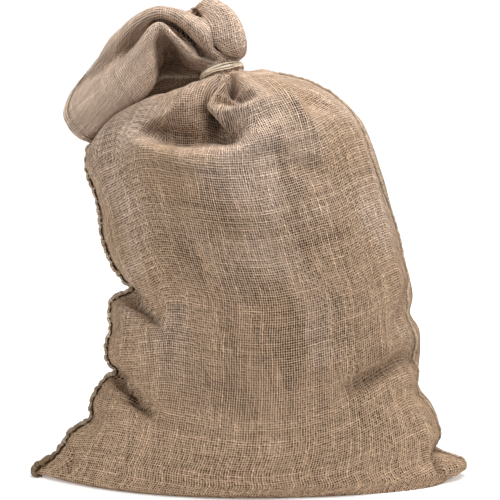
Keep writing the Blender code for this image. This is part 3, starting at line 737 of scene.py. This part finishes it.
def collar_grid(around):
    """The outside of the open collar, from the middle of the tie to the hem, and its painted shade."""
    open_rows = np.array(collar_rows(around, np.linspace(0, 1, COLLAR_ROWS + 1)))
    run = run_along(open_rows)
    moved = gathers(around, open_rows, run, COLLAR_GATHERS_SEED)
    moved += swells(open_rows, COLLAR_SWELLS)
    creases = fold_heights(open_rows, COLLAR_CREASES)
    moved += creases
    moved *= np.clip(run / ROOT_CALM, 0, 1)
    moved += HEM_PROUD * np.clip((HEM_DEEP + HEM_STEP - (run[-1] - run)) / HEM_STEP, 0, 1)
    folded = open_rows + normals_of(open_rows) * moved[:, :, None]
    shares = np.linspace(0, 1, NECK_ROWS + 1)[:-1]
    neck = np.array([neck_oval(around, NECK_HALF * share, 0) for share in shares])
    # painted shade in the collar's creases, weaker, and none at the neck
    painted_shade = np.concatenate([np.zeros((NECK_ROWS, len(around))), crease_shade_of(creases) * COLLAR_SHADE_SHARE])
    return np.concatenate([neck, folded]), painted_shade


def inside_of(grid):
    """The inner face of a sheet: thinner in tight folds, so that it crosses the outer one less there."""
    normals = normals_of(grid)
    thick = np.full(grid.shape[:2], CLOTH)
    edges = (
        (np.roll(grid, -1, axis=1) - grid, np.roll(normals, -1, axis=1) - normals),
        (grid[1:] - grid[:-1], normals[1:] - normals[:-1]),
    )
    most = []
    for edge, turn in edges:
        bend = np.maximum((edge * turn).sum(axis=2), BEND_LEAST)
        most.append(FOLD_SHARE * (edge**2).sum(axis=2) / bend)
    thick = np.minimum(thick, np.minimum(most[0], np.roll(most[0], 1, axis=1)))
    thick[:-1] = np.minimum(thick[:-1], most[1])
    thick[1:] = np.minimum(thick[1:], most[1])
    return grid - normals * thick[:, :, None]


def smoothed(values, reach):
    """Each ring's values averaged with their neighbours up to a number of columns away."""
    weights = np.hanning(2 * reach + 3)[1:-1]
    total = sum(w * np.roll(values, k - reach, axis=1) for k, w in enumerate(weights))
    return total / weights.sum()


def evened(grid, columns_reach, rows_reach):
    """A grid of rings with its small creases averaged away, so that the threads run evenly over them."""
    soft = smoothed(grid, columns_reach)
    weights = np.hanning(2 * rows_reach + 3)[1:-1]
    wider = np.pad(soft, ((rows_reach, rows_reach), (0, 0), (0, 0)), mode="edge")
    return sum(w * wider[k:k + len(grid)] for k, w in enumerate(weights)) / weights.sum()


def thread_places(around, grid, splits, share, along):
    """Where both ends of each step round a ring lie on the flat cloth, in metres across and along it."""
    closed = closed_ring(around)
    across = run_across(grid)
    middles = (closed[:-1] + closed[1:]) / 2
    part = np.clip(np.searchsorted(splits, middles) - 1, 0, len(splits) - 2)
    centres = (np.array(splits)[:-1] + np.array(splits)[1:]) / 2
    seats = np.array([nearest_column(closed, centre) for centre in centres])[part]
    ends = []
    for offset in (0, 1):
        here = np.arange(len(around)) + offset
        even = closed[here] * GIRTH
        local = closed[seats] * GIRTH + (across[:, here] - across[:, seats]) * FULLNESS
        ends.append((1 - share[:, None]) * even + share[:, None] * local)
    return np.stack(ends), np.stack([along, np.roll(along, -1, axis=1)])


def corner_pairs(first, second):
    """Values at the left and right ends of each step, as a list of face corners in the faces' order."""
    return np.stack([first[:-1], second[:-1], second[1:], first[1:]], axis=2).reshape(-1, 2)


def corner_uvs(across, along):
    """The grid's places on the flat cloth as a list of face corners."""
    left, right = np.stack([across, along], axis=3)
    return corner_pairs(left, right)


def grid_faces(rows, count):
    """Quads between neighbouring rings of a closed grid."""
    row = np.arange(rows - 1)[:, None] * count
    here = np.arange(count)[None]
    after = (here + 1) % count
    corners = [row + here, row + after, row + count + after, row + count + here]
    return np.stack(corners, axis=2).reshape(-1, 4)


def placed(name, data):
    """A new object in the scene."""
    made = bpy.data.objects.new(name, data)
    bpy.context.scene.collection.objects.link(made)
    return made


def mesh_piece(name, points, faces, finish, uvs=None, painted_shade=None):
    """A mesh, with its place on the flat cloth kept in the map called weave and its painted shade in a
    point attribute.
    """
    mesh = bpy.data.meshes.new(name)
    mesh.from_pydata(points.tolist(), [], faces)
    if uvs is not None:
        layer = mesh.uv_layers.new(name="weave")
        layer.data.foreach_set("uv", np.asarray(uvs, dtype=np.float32).ravel())
    if painted_shade is not None:
        kept = mesh.attributes.new("painted_shade", "FLOAT", "POINT")
        kept.data.foreach_set("value", np.asarray(painted_shade, dtype=np.float32).ravel())
    mesh.update()
    mesh.shade_smooth()
    mesh.materials.append(finish)
    return placed(name, mesh)


def make_body(around, finish):
    """The filled body, closed by its flat foot, and the grid that it is made from."""
    grid, painted_shade = body_grid(around)
    rows, count = grid.shape[:2]
    share = np.clip((grid[:, :, 2].mean(axis=1) - LOCAL_FROM) / LOCAL_OVER, 0, 1)
    share = share * share * (3 - 2 * share)
    rise = RISE_LEFT + (RISE_RIGHT - RISE_LEFT) * rightward(around)
    rise = rise * np.cos(2 * math.pi * around) ** 2
    even = evened(grid, EVEN_COLUMNS, EVEN_ROWS)
    along = smoothed(run_along(even), EVEN_RUN_BODY) - rise
    uvs = corner_uvs(*thread_places(around, even, DOME_SPLITS, share, along))
    right = nearest_column(around, 0.5)
    foot = foot_faces(grid[0], list(range(right + 1)), [0] + list(range(count - 1, right - 1, -1)))
    uvs = np.concatenate([uvs, [grid[0][corner, :2] for face in foot for corner in face]])
    faces = grid_faces(rows, count).tolist() + foot
    return grid, mesh_piece("sack_body", grid.reshape(-1, 3), faces, finish, uvs, painted_shade)


def foot_faces(ring, front, back):
    """The flat foot: strips across from the front edge to the back edge, all in one plane."""
    faces = []
    i, j = 0, 0
    while i < len(front) - 1 or j < len(back) - 1:
        step_front = i < len(front) - 1 and (
            j == len(back) - 1 or ring[front[i + 1], 0] <= ring[back[j + 1], 0]
        )
        corners = (front[i], back[j], front[i + 1] if step_front else back[j + 1])
        i, j = (i + 1, j) if step_front else (i, j + 1)
        if len(set(corners)) == 3:
            faces.append(corners)
    return faces


def make_collar(around, finish):
    """The open collar, an outer and an inner face joined at the hem, and the grid of the outer one."""
    outer, painted_shade = collar_grid(around)
    inner = inside_of(outer)
    out = unit(outer[-1] - outer[-3])
    edge = (outer[-1] + inner[-1]) / 2 + out * CLOTH * 0.5
    rings = np.concatenate([outer, edge[None], inner[::-1]])
    rows, count = rings.shape[:2]
    run = run_along(evened(outer, EVEN_COLUMNS, EVEN_ROWS))
    outward = LENGTH - (run[-1] - run) * FULLNESS
    along = np.concatenate([outward, outward[-1:] + HEM_EDGE, outward[::-1]])
    along = smoothed(along, EVEN_RUN_COLLAR)
    even = evened(rings, EVEN_COLUMNS, EVEN_ROWS)
    uvs = corner_uvs(*thread_places(around, even, COLLAR_SPLITS, np.ones(rows), along))
    faces = grid_faces(rows, count).tolist()
    # no painted shade on the inner face
    painted_shade = np.concatenate([painted_shade, painted_shade[-1:], painted_shade[::-1] * 0])
    return outer, mesh_piece("sack_collar", rings.reshape(-1, 3), faces, finish, uvs, painted_shade)


def on_cloth(grid, around, row, fraction):
    """The point of a grid at a row and a fraction of the way round, both between its own lines."""
    count = len(around)
    closed = closed_ring(around)
    fraction = fraction % 1
    place = np.interp(fraction, closed, np.arange(count + 1))
    low = int(min(place, count - 1))
    part = place - low
    base = int(min(max(row, 0), len(grid) - 1.001))
    up = row - base
    near = grid[base, low % count] * (1 - part) + grid[base, (low + 1) % count] * part
    far = grid[base + 1, low % count] * (1 - part) + grid[base + 1, (low + 1) % count] * part
    return near * (1 - up) + far * up


def caps(rings, sides):
    """The two faces that close the ends of a tube."""
    last = (rings - 1) * sides
    return [tuple(range(sides))[::-1], tuple(range(last, last + sides))]


def tube(path, radius, sides):
    """Points and faces of a round tube along a path, closed at both ends."""
    path = np.asarray(path, float)
    ahead = unit(np.gradient(path, axis=0))
    across = np.cross(ahead[0], TUBE_SIDE)
    turn = ring_angles(sides)
    rings = []
    for step, point in zip(ahead, path):
        across = across - step * across.dot(step)
        across /= np.linalg.norm(across)
        other = np.cross(step, across)
        rings.append(point + radius * (np.outer(np.cos(turn), across) + np.outer(np.sin(turn), other)))
    return np.concatenate(rings), grid_faces(len(path), sides).tolist() + caps(len(path), sides)


def joined(parts):
    """Several lists of points and faces as one."""
    points, faces = [], []
    for some, polygons in parts:
        shift = sum(len(p) for p in points)
        points.append(some)
        faces += [tuple(shift + k for k in polygon) for polygon in polygons]
    return np.concatenate(points), faces


def read_at(at, run, rows):
    """Rows of points or directions read at distances along their run."""
    return np.array([np.interp(at, run, rows[:, k]) for k in range(3)]).T


def beside(values, reach, away):
    """Values read in each row at a distance from its first column."""
    return np.array([read_at(*row) for row in zip(away, reach, values)])


def seam_line(grid, around, seam, slipped):
    """A seam's points up the sack and the directions out from them, slipped aside over the cloth."""
    place = nearest_column(around, seam)
    order = place + (1 if seam == 0 else -1) * np.arange(SEAM_NEAR)
    reach = run_of(grid[:, order], 1)
    heights, forward = np.array(slipped).T / 1000
    away = np.interp(grid[:, place, 2], heights, forward)
    line = beside(grid[:, order], reach, away)
    return line, beside(smoothed(normals_of(grid), SEAM_EVEN)[:, order], reach, away)


def seam_roll(line, normals, rows, radius, seed, swollen=False):
    """The sewn edge between two rows: a thin roll, bound with slanting stitches that lie side by side."""
    pick = np.random.default_rng(seed)
    run = run_of(line, 0)
    start, end = run[rows[0]], run[rows[1]]
    length = end - start
    count = int(length / ROLL_STEP)
    at = np.linspace(start, end, count + 1)
    centre = read_at(at, run, line)
    out = unit(read_at(at, run, normals))
    side = np.cross(unit(np.gradient(centre, axis=0)), out)
    here = at - at[0]
    knots = np.arange(0, length + ROLL_SPARE, ROLL_KNOT)
    full, wander, sway, pitch = (
        np.interp(here, knots, pick.uniform(*limits, len(knots))) for limits in ROLL_UNEVEN
    )
    if swollen:
        full += EAR_SWELL[0] * bell(here - EAR_SWELL[1], EAR_SWELL[2])
    scallop = np.abs(np.sin(math.pi * (here / SCALLOP + wander)))
    turns = np.cumsum(pitch) * (at[1] - at[0]) / STITCH_PITCH
    ends = np.clip(np.minimum(here, at[-1] - at) / ROLL_TAPER, ROLL_LEAST, 1) ** 0.5
    angles = ring_angles(ROLL_SIDES)
    points, places = [], []
    for i in range(count + 1):
        phase = turns[i] + angles / (2 * math.pi) * STITCH_SLANT
        wrap = np.abs(np.sin(math.pi * phase)) ** WRAP_SHARP
        size = radius * full[i] * ends[i] * (ROLL_WAIST + WRAP_HIGH * wrap)
        proud = radius * (ROLL_OUT - SCALLOP_IN + SCALLOP_HIGH * scallop[i])
        middle = centre[i] + out[i] * proud + side[i] * radius * ROLL_SWAY * sway[i]
        outwards = np.outer(np.cos(angles) * size * ROLL_DEEP, out[i])
        points.append(middle + (outwards + np.outer(np.sin(angles) * size, side[i])))
        places.append(np.column_stack([phase, angles / (2 * math.pi)]))
    points = np.concatenate(points)
    points[:, 2] = np.maximum(points[:, 2], FLOOR_CLEAR)
    places = np.array(places)
    wrapped = np.concatenate([places, places[:, :1] + (STITCH_SLANT, 1.0)], axis=1)
    uvs = np.concatenate([corner_pairs(wrapped[:, :-1], wrapped[:, 1:]), places[0, ::-1], places[-1]])
    faces = grid_faces(count + 1, ROLL_SIDES).tolist() + caps(count + 1, ROLL_SIDES)
    return points, faces, uvs


def bound_edge(name, rolls, finish):
    """Rolls as one piece, with the place on the stitches in the map called weave."""
    points, faces = joined([roll[:2] for roll in rolls])
    return mesh_piece(name, points, faces, finish, np.concatenate([roll[2] for roll in rolls]))


def hem_stitches(outer, around, seed):
    """A thin running stitch along the hem, a little way in from its edge."""
    pick = np.random.default_rng(seed)
    normals = normals_of(outer)
    run = run_along(outer)
    inward = HEM_DEEP * STITCH_IN
    rows = [np.interp(line[-1] - inward, line, np.arange(len(run))) for line in run.T]
    length = run_of(np.concatenate([outer[-1], outer[-1, :1]]), 0)
    closed = closed_ring(around)
    parts = []
    at = 0.0
    while at < length[-1] - STITCH_LEFT:
        long = STITCH_LONG * pick.uniform(*STITCH_UNEVEN)
        path = []
        for share in np.linspace(0, 1, STITCH_STEPS):
            fraction = np.interp(at + long * share, length, closed)
            row = np.interp(fraction, around, rows)
            out = on_cloth(normals, around, row, fraction)
            lift = out * STITCH_HIGH * (1 - STITCH_DIP * (2 * share - 1) ** 4)
            path.append(on_cloth(outer, around, row, fraction) + lift)
        parts.append(tube(path, STITCH_RADIUS, STITCH_SIDES))
        at += long + STITCH_GAP * pick.uniform(*STITCH_UNEVEN)
    return parts


def ribbon(centre, out, wide, thick):
    """A closed flat strand: a ring of points at each place along it, wide along the neck, thin outwards."""
    count = len(centre)
    across = np.cross(unit(np.roll(centre, -1, axis=0) - np.roll(centre, 1, axis=0)), out)
    angles = ring_angles(RIBBON_SIDES)
    rings = [
        centre[i] + np.outer(np.cos(angles) * wide[i], across[i]) + np.outer(np.sin(angles) * thick, out[i])
        for i in range(count)
    ]
    faces = grid_faces(count + 1, RIBBON_SIDES) % (count * RIBBON_SIDES)
    return np.concatenate(rings), faces.tolist()


def tie_strands():
    """Flat straw strands round the neck, crossing a little, the lowest slack at the front."""
    parts = []
    pick = np.random.default_rng(TIE_SEED)
    turn = np.linspace(0, 1, STRAND_STEPS, endpoint=False)
    angle = 2 * math.pi * turn
    squeeze = 1 - STRAND_SQUEEZE * np.cos(angle)
    for number, along in enumerate(STRANDS):
        wave = STRAND_WAVE * np.sin(2 * angle + pick.uniform(0, 6))
        cross = STRAND_CROSS * np.sin(angle + pick.uniform(0, 6))
        slack = bell(turn - SLACK_AT, SLACK_OVER) if number == 0 else 0 * turn
        place = along * squeeze + wave + cross - SLACK_LOW * slack
        out = PLEAT_DEEP * PLEAT_FILLED + STRAND_THICK * (STRAND_OUT + STRAND_OVER * (number % 2))
        centre = neck_oval(turn, place, out + SLACK_OUT * slack)
        away = (oval(turn, 0, OUT_STEP) - oval(turn, 0, 0)) @ neck_axes() / OUT_STEP
        wide = STRAND_WIDE * (1 + STRAND_SWELL * np.sin(3 * angle + pick.uniform(0, 6)))
        parts.append(ribbon(centre, away, wide * (1 - SLACK_NARROW * slack), STRAND_THICK))
    return parts


class Value:
    """A shader value to reckon with: each operator adds the math node that does it."""

    def __init__(self, wires, socket):
        self.wires = wires
        self.socket = socket

    def __add__(self, other):
        return self.wires.math("ADD", self, other)

    def __sub__(self, other):
        return self.wires.math("SUBTRACT", self, other)

    def __rsub__(self, other):
        return self.wires.math("SUBTRACT", other, self)

    def __mul__(self, other):
        return self.wires.math("MULTIPLY", self, other)

    def __truediv__(self, other):
        return self.wires.math("DIVIDE", self, other)

    def __pow__(self, other):
        return self.wires.math("POWER", self, other)

    def __abs__(self):
        return self.wires.math("ABSOLUTE", self)

    __radd__ = __add__
    __rmul__ = __mul__


class Wires:
    """A new node material, with short ways of adding and joining its nodes."""

    def __init__(self, name):
        self.made = bpy.data.materials.new(name)
        self.made.use_nodes = True
        self.tree = self.made.node_tree
        self.shader = self.tree.nodes["Principled BSDF"]

    def feed(self, socket, value):
        """Link a value to a socket, or set the socket to a plain number or colour."""
        if isinstance(value, Value):
            self.tree.links.new(value.socket, socket)
        else:
            socket.default_value = value

    def node(self, kind, values=(), out=0, **settings):
        """One output of a new node, with its settings and what goes into its sockets."""
        node = self.tree.nodes.new("ShaderNode" + kind)
        for name, setting in settings.items():
            setattr(node, name, setting)
        for name, value in dict(values).items():
            self.feed(node.inputs[name], value)
        return Value(self, node.outputs[out])

    def parts(self, vector):
        """The x, y and z of a vector."""
        split = self.node("SeparateXYZ", {0: vector}).socket.node
        return [Value(self, socket) for socket in split.outputs]

    def weave(self):
        """The place on the flat cloth."""
        return self.node("UVMap", out="UV", uv_map="weave")

    def place(self):
        """The place on the object."""
        return self.node("TexCoord", out="Object")

    def math(self, operation, *values):
        """What the math node makes of some values."""
        return self.node("Math", enumerate(values), operation=operation)

    def most(self, first, second):
        """The larger of two numbers."""
        return self.math("MAXIMUM", first, second)

    def pair(self, x, y, z=0.0):
        """A vector of two numbers, or of three."""
        return self.node("CombineXYZ", enumerate((x, y, z)))

    def noise(self, vector, scale, detail=2.0, roughness=0.5):
        """Soft noise around 0.5, with about this many swells in each unit of the vector."""
        values = {"Vector": vector, "Scale": scale, "Detail": detail, "Roughness": roughness}
        return self.node("TexNoise", values, "Fac", noise_dimensions="3D")

    def chance(self, value):
        """A random number from 0 to 1 that belongs to a value."""
        return self.node("TexWhiteNoise", {"W": value}, "Value", noise_dimensions="1D")

    def mix(self, share, first, second):
        """A mix of two colours."""
        return self.node("Mix", {0: share, 6: first, 7: second}, 2, data_type="RGBA")

    def blend(self, share, first, second):
        """A mix of two numbers."""
        return self.node("Mix", {0: share, 2: first, 3: second}, data_type="FLOAT")

    def scaled(self, colour, factor):
        """A colour made brighter or darker."""
        return self.node("VectorMath", {0: colour, "Scale": factor}, operation="SCALE")

    def span(self, value, low, high):
        """0 below low, 1 above high, and smooth between."""
        values = {"Value": value, "From Min": low, "From Max": high}
        return self.node("MapRange", values, "Result", interpolation_type="SMOOTHSTEP")

    def finish(self, colour, roughness, height, depth, specular=0.5):
        """The material, with its colour, roughness, gloss and a bump of some depth in metres."""
        bump = self.node("Bump", {"Strength": 1.0, "Distance": depth, "Height": height}, "Normal")
        inputs = self.shader.inputs
        for name, value in (("Base Color", colour), ("Roughness", roughness), ("Normal", bump)):
            self.feed(inputs[name], value)
        inputs["Specular IOR Level"].default_value = specular
        return self.made


def thread_set(wires, across, along, offset, wide):
    """One set of threads: its number, chance, thickness along it, and how far off its middle a place is."""
    number = wires.math("FLOOR", across)
    chance = wires.chance(number + offset)
    slub = wires.noise(wires.pair(number * SLUB_APART, along * SLUB_RATE, offset), 1.0)
    half = wide + chance * THREAD_UNEVEN + (slub - 0.5) * SLUB_SWELL
    return number, chance, slub, abs(wires.math("FRACT", across) - 0.5) / half


def thread_level(wires, away, over):
    """How high a thread stands: round, raised where it goes over, and far down beside it."""
    arch = wires.math("SQRT", wires.most(1.0 - away * away, 0.0))
    return wires.blend(wires.math("LESS_THAN", away, 1.0), HOLE_LEVEL, over + arch)


def rare(wires, chance, slub):
    """Brightness of a thread: most are alike, a few are paler for a stretch and a few darker."""
    pale = chance ** RARE * RARE_PALE * wires.span(slub, 0.42, 0.60)
    return THREAD_TONE + pale - (1.0 - chance) ** RARE * RARE_DARK


def scatter(wires, across, along):
    """A chance for each square of the weave."""
    return wires.chance(across * SCATTER[0] + along * SCATTER[1])


def openness(wires, place, across, along, collar):
    """How closed up the weave is: soft patches, bands and stripes, closer at the sides, foot and collar."""
    band = wires.noise(wires.pair(across * BAND_LONG, along * BAND_NARROW), 1.0)
    stripe = wires.noise(wires.pair(across * BAND_NARROW, along * BAND_LONG, 9.0), 1.0)
    patch = wires.blend(0.5, wires.noise(place, CLOTH_PATCHES, 3.0), wires.blend(0.5, band, stripe))
    off_middle = wires.span(abs(across - GIRTH / 4), *SIDES_FROM)
    near_foot = 1.0 - wires.span(along, *FOOT_TO)
    closer = wires.most(off_middle, near_foot) * CLOSER_THERE
    return wires.most(wires.span(patch + closer, *CLOSED_SPAN), collar * CLOSER_COLLAR)


def hessian():
    """Open plain weave of coarse jute: two sets of uneven threads over and under, with painted shade on
    their flanks and in the holes.
    """
    wires = Wires("hessian")
    place = wires.weave()
    across, along, _ = wires.parts(place)
    collar = wires.span(along, *TIGHT_FROM)
    u = across / WARP_PITCH + wires.noise(place, DRIFT_SCALE) * DRIFT
    v = along / WEFT_PITCH + wires.noise(wires.pair(along, across, 5.0), DRIFT_SCALE) * DRIFT
    warp, warp_chance, warp_slub, warp_away = thread_set(wires, u, v, 0.5, WARP_HALF)
    weft, weft_chance, weft_slub, weft_away = thread_set(wires, v, u, 7.5, WEFT_HALF)
    closed_up = openness(wires, place, across, along, collar)
    gap = scatter(wires, wires.math("FLOOR", u + 0.5), wires.math("FLOOR", v + 0.5))
    loosen = wires.blend(closed_up, *LOOSE) * wires.blend(gap ** GAP_RARE, *GAP_LOOSE)
    warp_over = wires.math("SINE", (v + warp) * math.pi) * OVER_HIGH
    weft_over = wires.math("SINE", (u + weft) * math.pi) * -OVER_HIGH
    warp_level = thread_level(wires, warp_away * loosen, warp_over)
    weft_level = thread_level(wires, weft_away * loosen, weft_over)
    top = wires.math("GREATER_THAN", warp_level, weft_level)
    level = wires.most(warp_level, weft_level)
    slub = wires.blend(top, weft_slub, warp_slub)
    weft_shade = rare(wires, weft_chance, weft_slub)
    # warp painted paler: painted light
    warp_shade = rare(wires, warp_chance, warp_slub) * WARP_PAINTED_PALER
    shade = wires.blend(top, weft_shade, warp_shade)
    speck = wires.span(wires.noise(place, CLOTH_SPECKS, 3.0, 0.75), 0.36, 0.64)
    square = scatter(wires, warp, weft)
    for share, low, high in ((slub, 0.86, 1.16), (speck, 0.83, 1.13), (square, 0.88, 1.11)):
        shade = shade * wires.blend(share, low, high)
    # the cloth's own patchy tone, shifted paler upwards and browner downwards as painted light and shade
    tone = wires.noise(place, CLOTH_TONES, 4.0) - (along - PAINTED_LIGHT_MIDDLE) * PAINTED_LIGHT_SLOPE
    warm = wires.mix(wires.span(tone, 0.3, 0.7), JUTE_PALE, JUTE_BROWN)
    # the collar painted paler: painted light
    warm = wires.mix(collar, warm, JUTE_COLLAR_LIT)
    # painted shade: darker thread flanks and near black holes
    flank_shade = wires.mix(closed_up, FLANK_SHADE_OPEN, FLANK_SHADE_CLOSED)
    hole_shade = wires.mix(closed_up, HOLE_SHADE_OPEN, HOLE_SHADE_CLOSED)
    low = wires.mix(wires.span(level, -1.1, -0.1), hole_shade, flank_shade)
    colour = wires.mix(wires.span(level, 0.05, 1.05), low, wires.scaled(warm, shade))
    # painted shade: darker cloth deep in creases and under the collar
    painted_shade = wires.node("Attribute", out="Fac", attribute_name="painted_shade")
    colour = wires.mix(painted_shade * PAINTED_SHADE_STRENGTH, colour, PAINTED_SHADE_COLOUR)
    height = level + wires.noise(place, CLOTH_FIBRES) * 0.25
    return wires.finish(colour, wires.blend(slub, 0.82, 0.98), height, CLOTH_BUMP, specular=0.02)


def binding():
    """The bound edges: brown twine in slanting stitches with a painted shade line where the roll meets the
    cloth, painted paler in the collar as painted light.
    """
    wires = Wires("seam_twine")
    turns, wrap, _ = wires.parts(wires.weave())
    place = wires.place()
    x, _, z = wires.parts(place)
    stitch = 1.0 - abs(wires.math("FRACT", turns) - 0.5) * 2.0
    chance = wires.chance(wires.math("FLOOR", turns))
    collar = wires.span(z, *COLLAR_FROM)
    # the collar's roll takes the paler right-hand tone: painted light on a roll in shade
    right = wires.most(wires.span(x, *RIGHT_FROM), collar)
    side = abs(wires.math("FRACT", wrap) - 0.5)
    # a thin line where the roll meets the cloth, painted as shade
    line = 1.0 - wires.span(abs(side - 0.205), 0.04, 0.065)
    patch = wires.noise(place, TWINE_PATCHES, 3.0)
    fibre = wires.noise(place, TWINE_FIBRES, 3.0)
    patchy = wires.span(patch, 0.35, 0.65)
    tone = wires.mix(right, wires.mix(patchy, *TWINE_LEFT), wires.mix(patchy, *TWINE_RIGHT))
    corner = wires.span(x, *CORNER_FROM) * 0.85
    low_left = wires.span(z, *LOW_FROM) * (1.0 - right) * 0.5
    tone = wires.mix(wires.most(corner, low_left), tone, TWINE_DIRT)
    # painted highlight: the collar's roll inside the shaded hollow painted paler
    painted_lit = collar * wires.span(x, *PAINTED_LIT_FROM)
    tone = wires.mix(painted_lit, tone, TWINE_PAINTED_LIT)
    lit = wires.scaled(tone, wires.blend(chance, 0.75, 1.2) * wires.blend(fibre, 0.8, 1.2))
    colour = wires.mix(wires.span(stitch, 0.02, 0.42), wires.mix(right, *TWINE_BETWEEN), lit)
    ragged = wires.span(wires.noise(place, TWINE_RAGS), 0.36, 0.50)
    # painted shade line, faint on the right-hand roll
    sewn = line * ragged * wires.blend(right, 1.0, 0.22)
    colour = wires.mix(sewn, colour, ROLL_CREASE_SHADE)
    height = stitch + fibre * 0.3
    return wires.finish(colour, wires.blend(patch, 0.8, 0.95), height, TWINE_BUMP, specular=0.05)


def straw():
    """Pale split straw, finely flecked and browner in patches."""
    wires = Wires("straw_twine")
    place = wires.place()
    fibre = wires.noise(place, STRAW_FIBRES, 3.0)
    patch = wires.noise(place, STRAW_PATCHES)
    pale = wires.mix(fibre, *STRAW_PALE)
    colour = wires.mix(wires.span(patch, 0.4, 0.75), pale, STRAW_BROWN)
    return wires.finish(colour, wires.blend(patch, 0.55, 0.8), fibre, FIBRE_BUMP, specular=0.3)


def hem_thread():
    """Dark thread of the hem's stitches."""
    wires = Wires("hem_thread")
    place = wires.place()
    patch = wires.noise(place, THREAD_PATCHES, 3.0)
    fibre = wires.noise(place, THREAD_FIBRES)
    colour = wires.mix(fibre, wires.mix(wires.span(patch, 0.3, 0.7), *THREAD_BROWN), THREAD_FIBRE)
    return wires.finish(colour, wires.blend(patch, 0.8, 0.95), fibre, FIBRE_BUMP)


def floor_paint():
    """White paint that lights itself more and more behind the sack."""
    wires = Wires("floor_paint")
    place = wires.place()
    inputs = wires.shader.inputs
    wires.feed(inputs["Base Color"], wires.mix(wires.noise(place, FLOOR_PATCHES), *FLOOR_WHITE))
    inputs["Roughness"].default_value = 0.9
    inputs["Emission Color"].default_value = (1, 1, 1, 1)
    behind = wires.span(wires.parts(place)[1], *GLOW_FROM)
    wires.feed(inputs["Emission Strength"], behind * FLOOR_GLOW)
    return wires.made


def aimed(made, place, direction):
    """Put the camera or a light in its place, turned along a direction."""
    made.location = place
    made.rotation_euler = direction.to_track_quat("-Z", "Y").to_euler()


def add_camera():
    """The camera, at the photo's height and angle."""
    data = bpy.data.cameras.new("view")
    data.sensor_width = SENSOR
    data.lens = SENSOR * VIEW_DISTANCE / VIEW_WIDE
    data.shift_x = VIEW_SHIFT
    made = placed("view", data)
    rise = math.radians(VIEW_RISE)
    back = Vector((0, -math.cos(rise), math.sin(rise)))
    aimed(made, Vector(VIEW_TARGET) + back * VIEW_DISTANCE, -back)
    bpy.context.scene.camera = made


def add_light(name, place, size, power):
    """A round soft light, aimed at the sack."""
    data = bpy.data.lights.new(name, "AREA")
    data.shape = "DISK"
    data.size = size
    data.energy = power
    aimed(placed(name, data), place, Vector(LIGHT_AIM) - Vector(place))


def add_studio():
    """Plain soft light and a pale floor."""
    scene = bpy.context.scene
    scene.world = bpy.data.worlds.new("studio")
    scene.world.use_nodes = True
    background = scene.world.node_tree.nodes["Background"].inputs
    background["Color"].default_value = (1, 1, 1, 1)
    background["Strength"].default_value = WORLD_LIGHT
    scene.view_settings.view_transform = "Standard"
    for light in LIGHTS:
        add_light(*light)
    corners = [(-FLOOR_HALF, -FLOOR_HALF, 0), (FLOOR_HALF, -FLOOR_HALF, 0),
               (FLOOR_HALF, FLOOR_HALF, 0), (-FLOOR_HALF, FLOOR_HALF, 0)]
    mesh = bpy.data.meshes.new("floor")
    mesh.from_pydata(corners, [], [(0, 1, 2, 3)])
    mesh.materials.append(floor_paint())
    placed("floor", mesh)


def main():
    """The camera, the studio and the six pieces, each attached to the root body, with the CAD parts hidden.
    """
    add_camera()
    add_studio()
    cloth = hessian()
    twine = binding()
    around = columns()
    body, body_piece = make_body(around, cloth)
    collar, collar_piece = make_collar(around, cloth)
    rows = (SEAM_FIRST_ROW, len(body) - NECK_ROWS - SEAM_TOP_ROWS)
    left = seam_roll(*seam_line(body, around, 0.0, STRAIGHT), rows, ROLL_LEFT, LEFT_SEED, swollen=True)
    right = seam_roll(*seam_line(body, around, 0.5, SLIPPED), rows, ROLL_RIGHT, RIGHT_SEED)
    body_seams = bound_edge("body_seams", [left, right], twine)
    rows = (COLLAR_SEAM_FIRST_ROW, len(collar) - 2)
    roll = seam_roll(*seam_line(collar, around, 0.0, STRAIGHT), rows, ROLL_COLLAR, COLLAR_SEED)
    collar_seams = bound_edge("collar_seams", [roll], twine)
    hem = mesh_piece("hem_stitches", *joined(hem_stitches(collar, around, STITCH_SEED)), hem_thread())
    tie = mesh_piece("straw_tie", *joined(tie_strands()), straw())
    for piece in (body_piece, collar_piece, body_seams, collar_seams, hem, tie):
        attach(piece, "root")
    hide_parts("sack")
    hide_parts("sack")
    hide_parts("tie")


main()
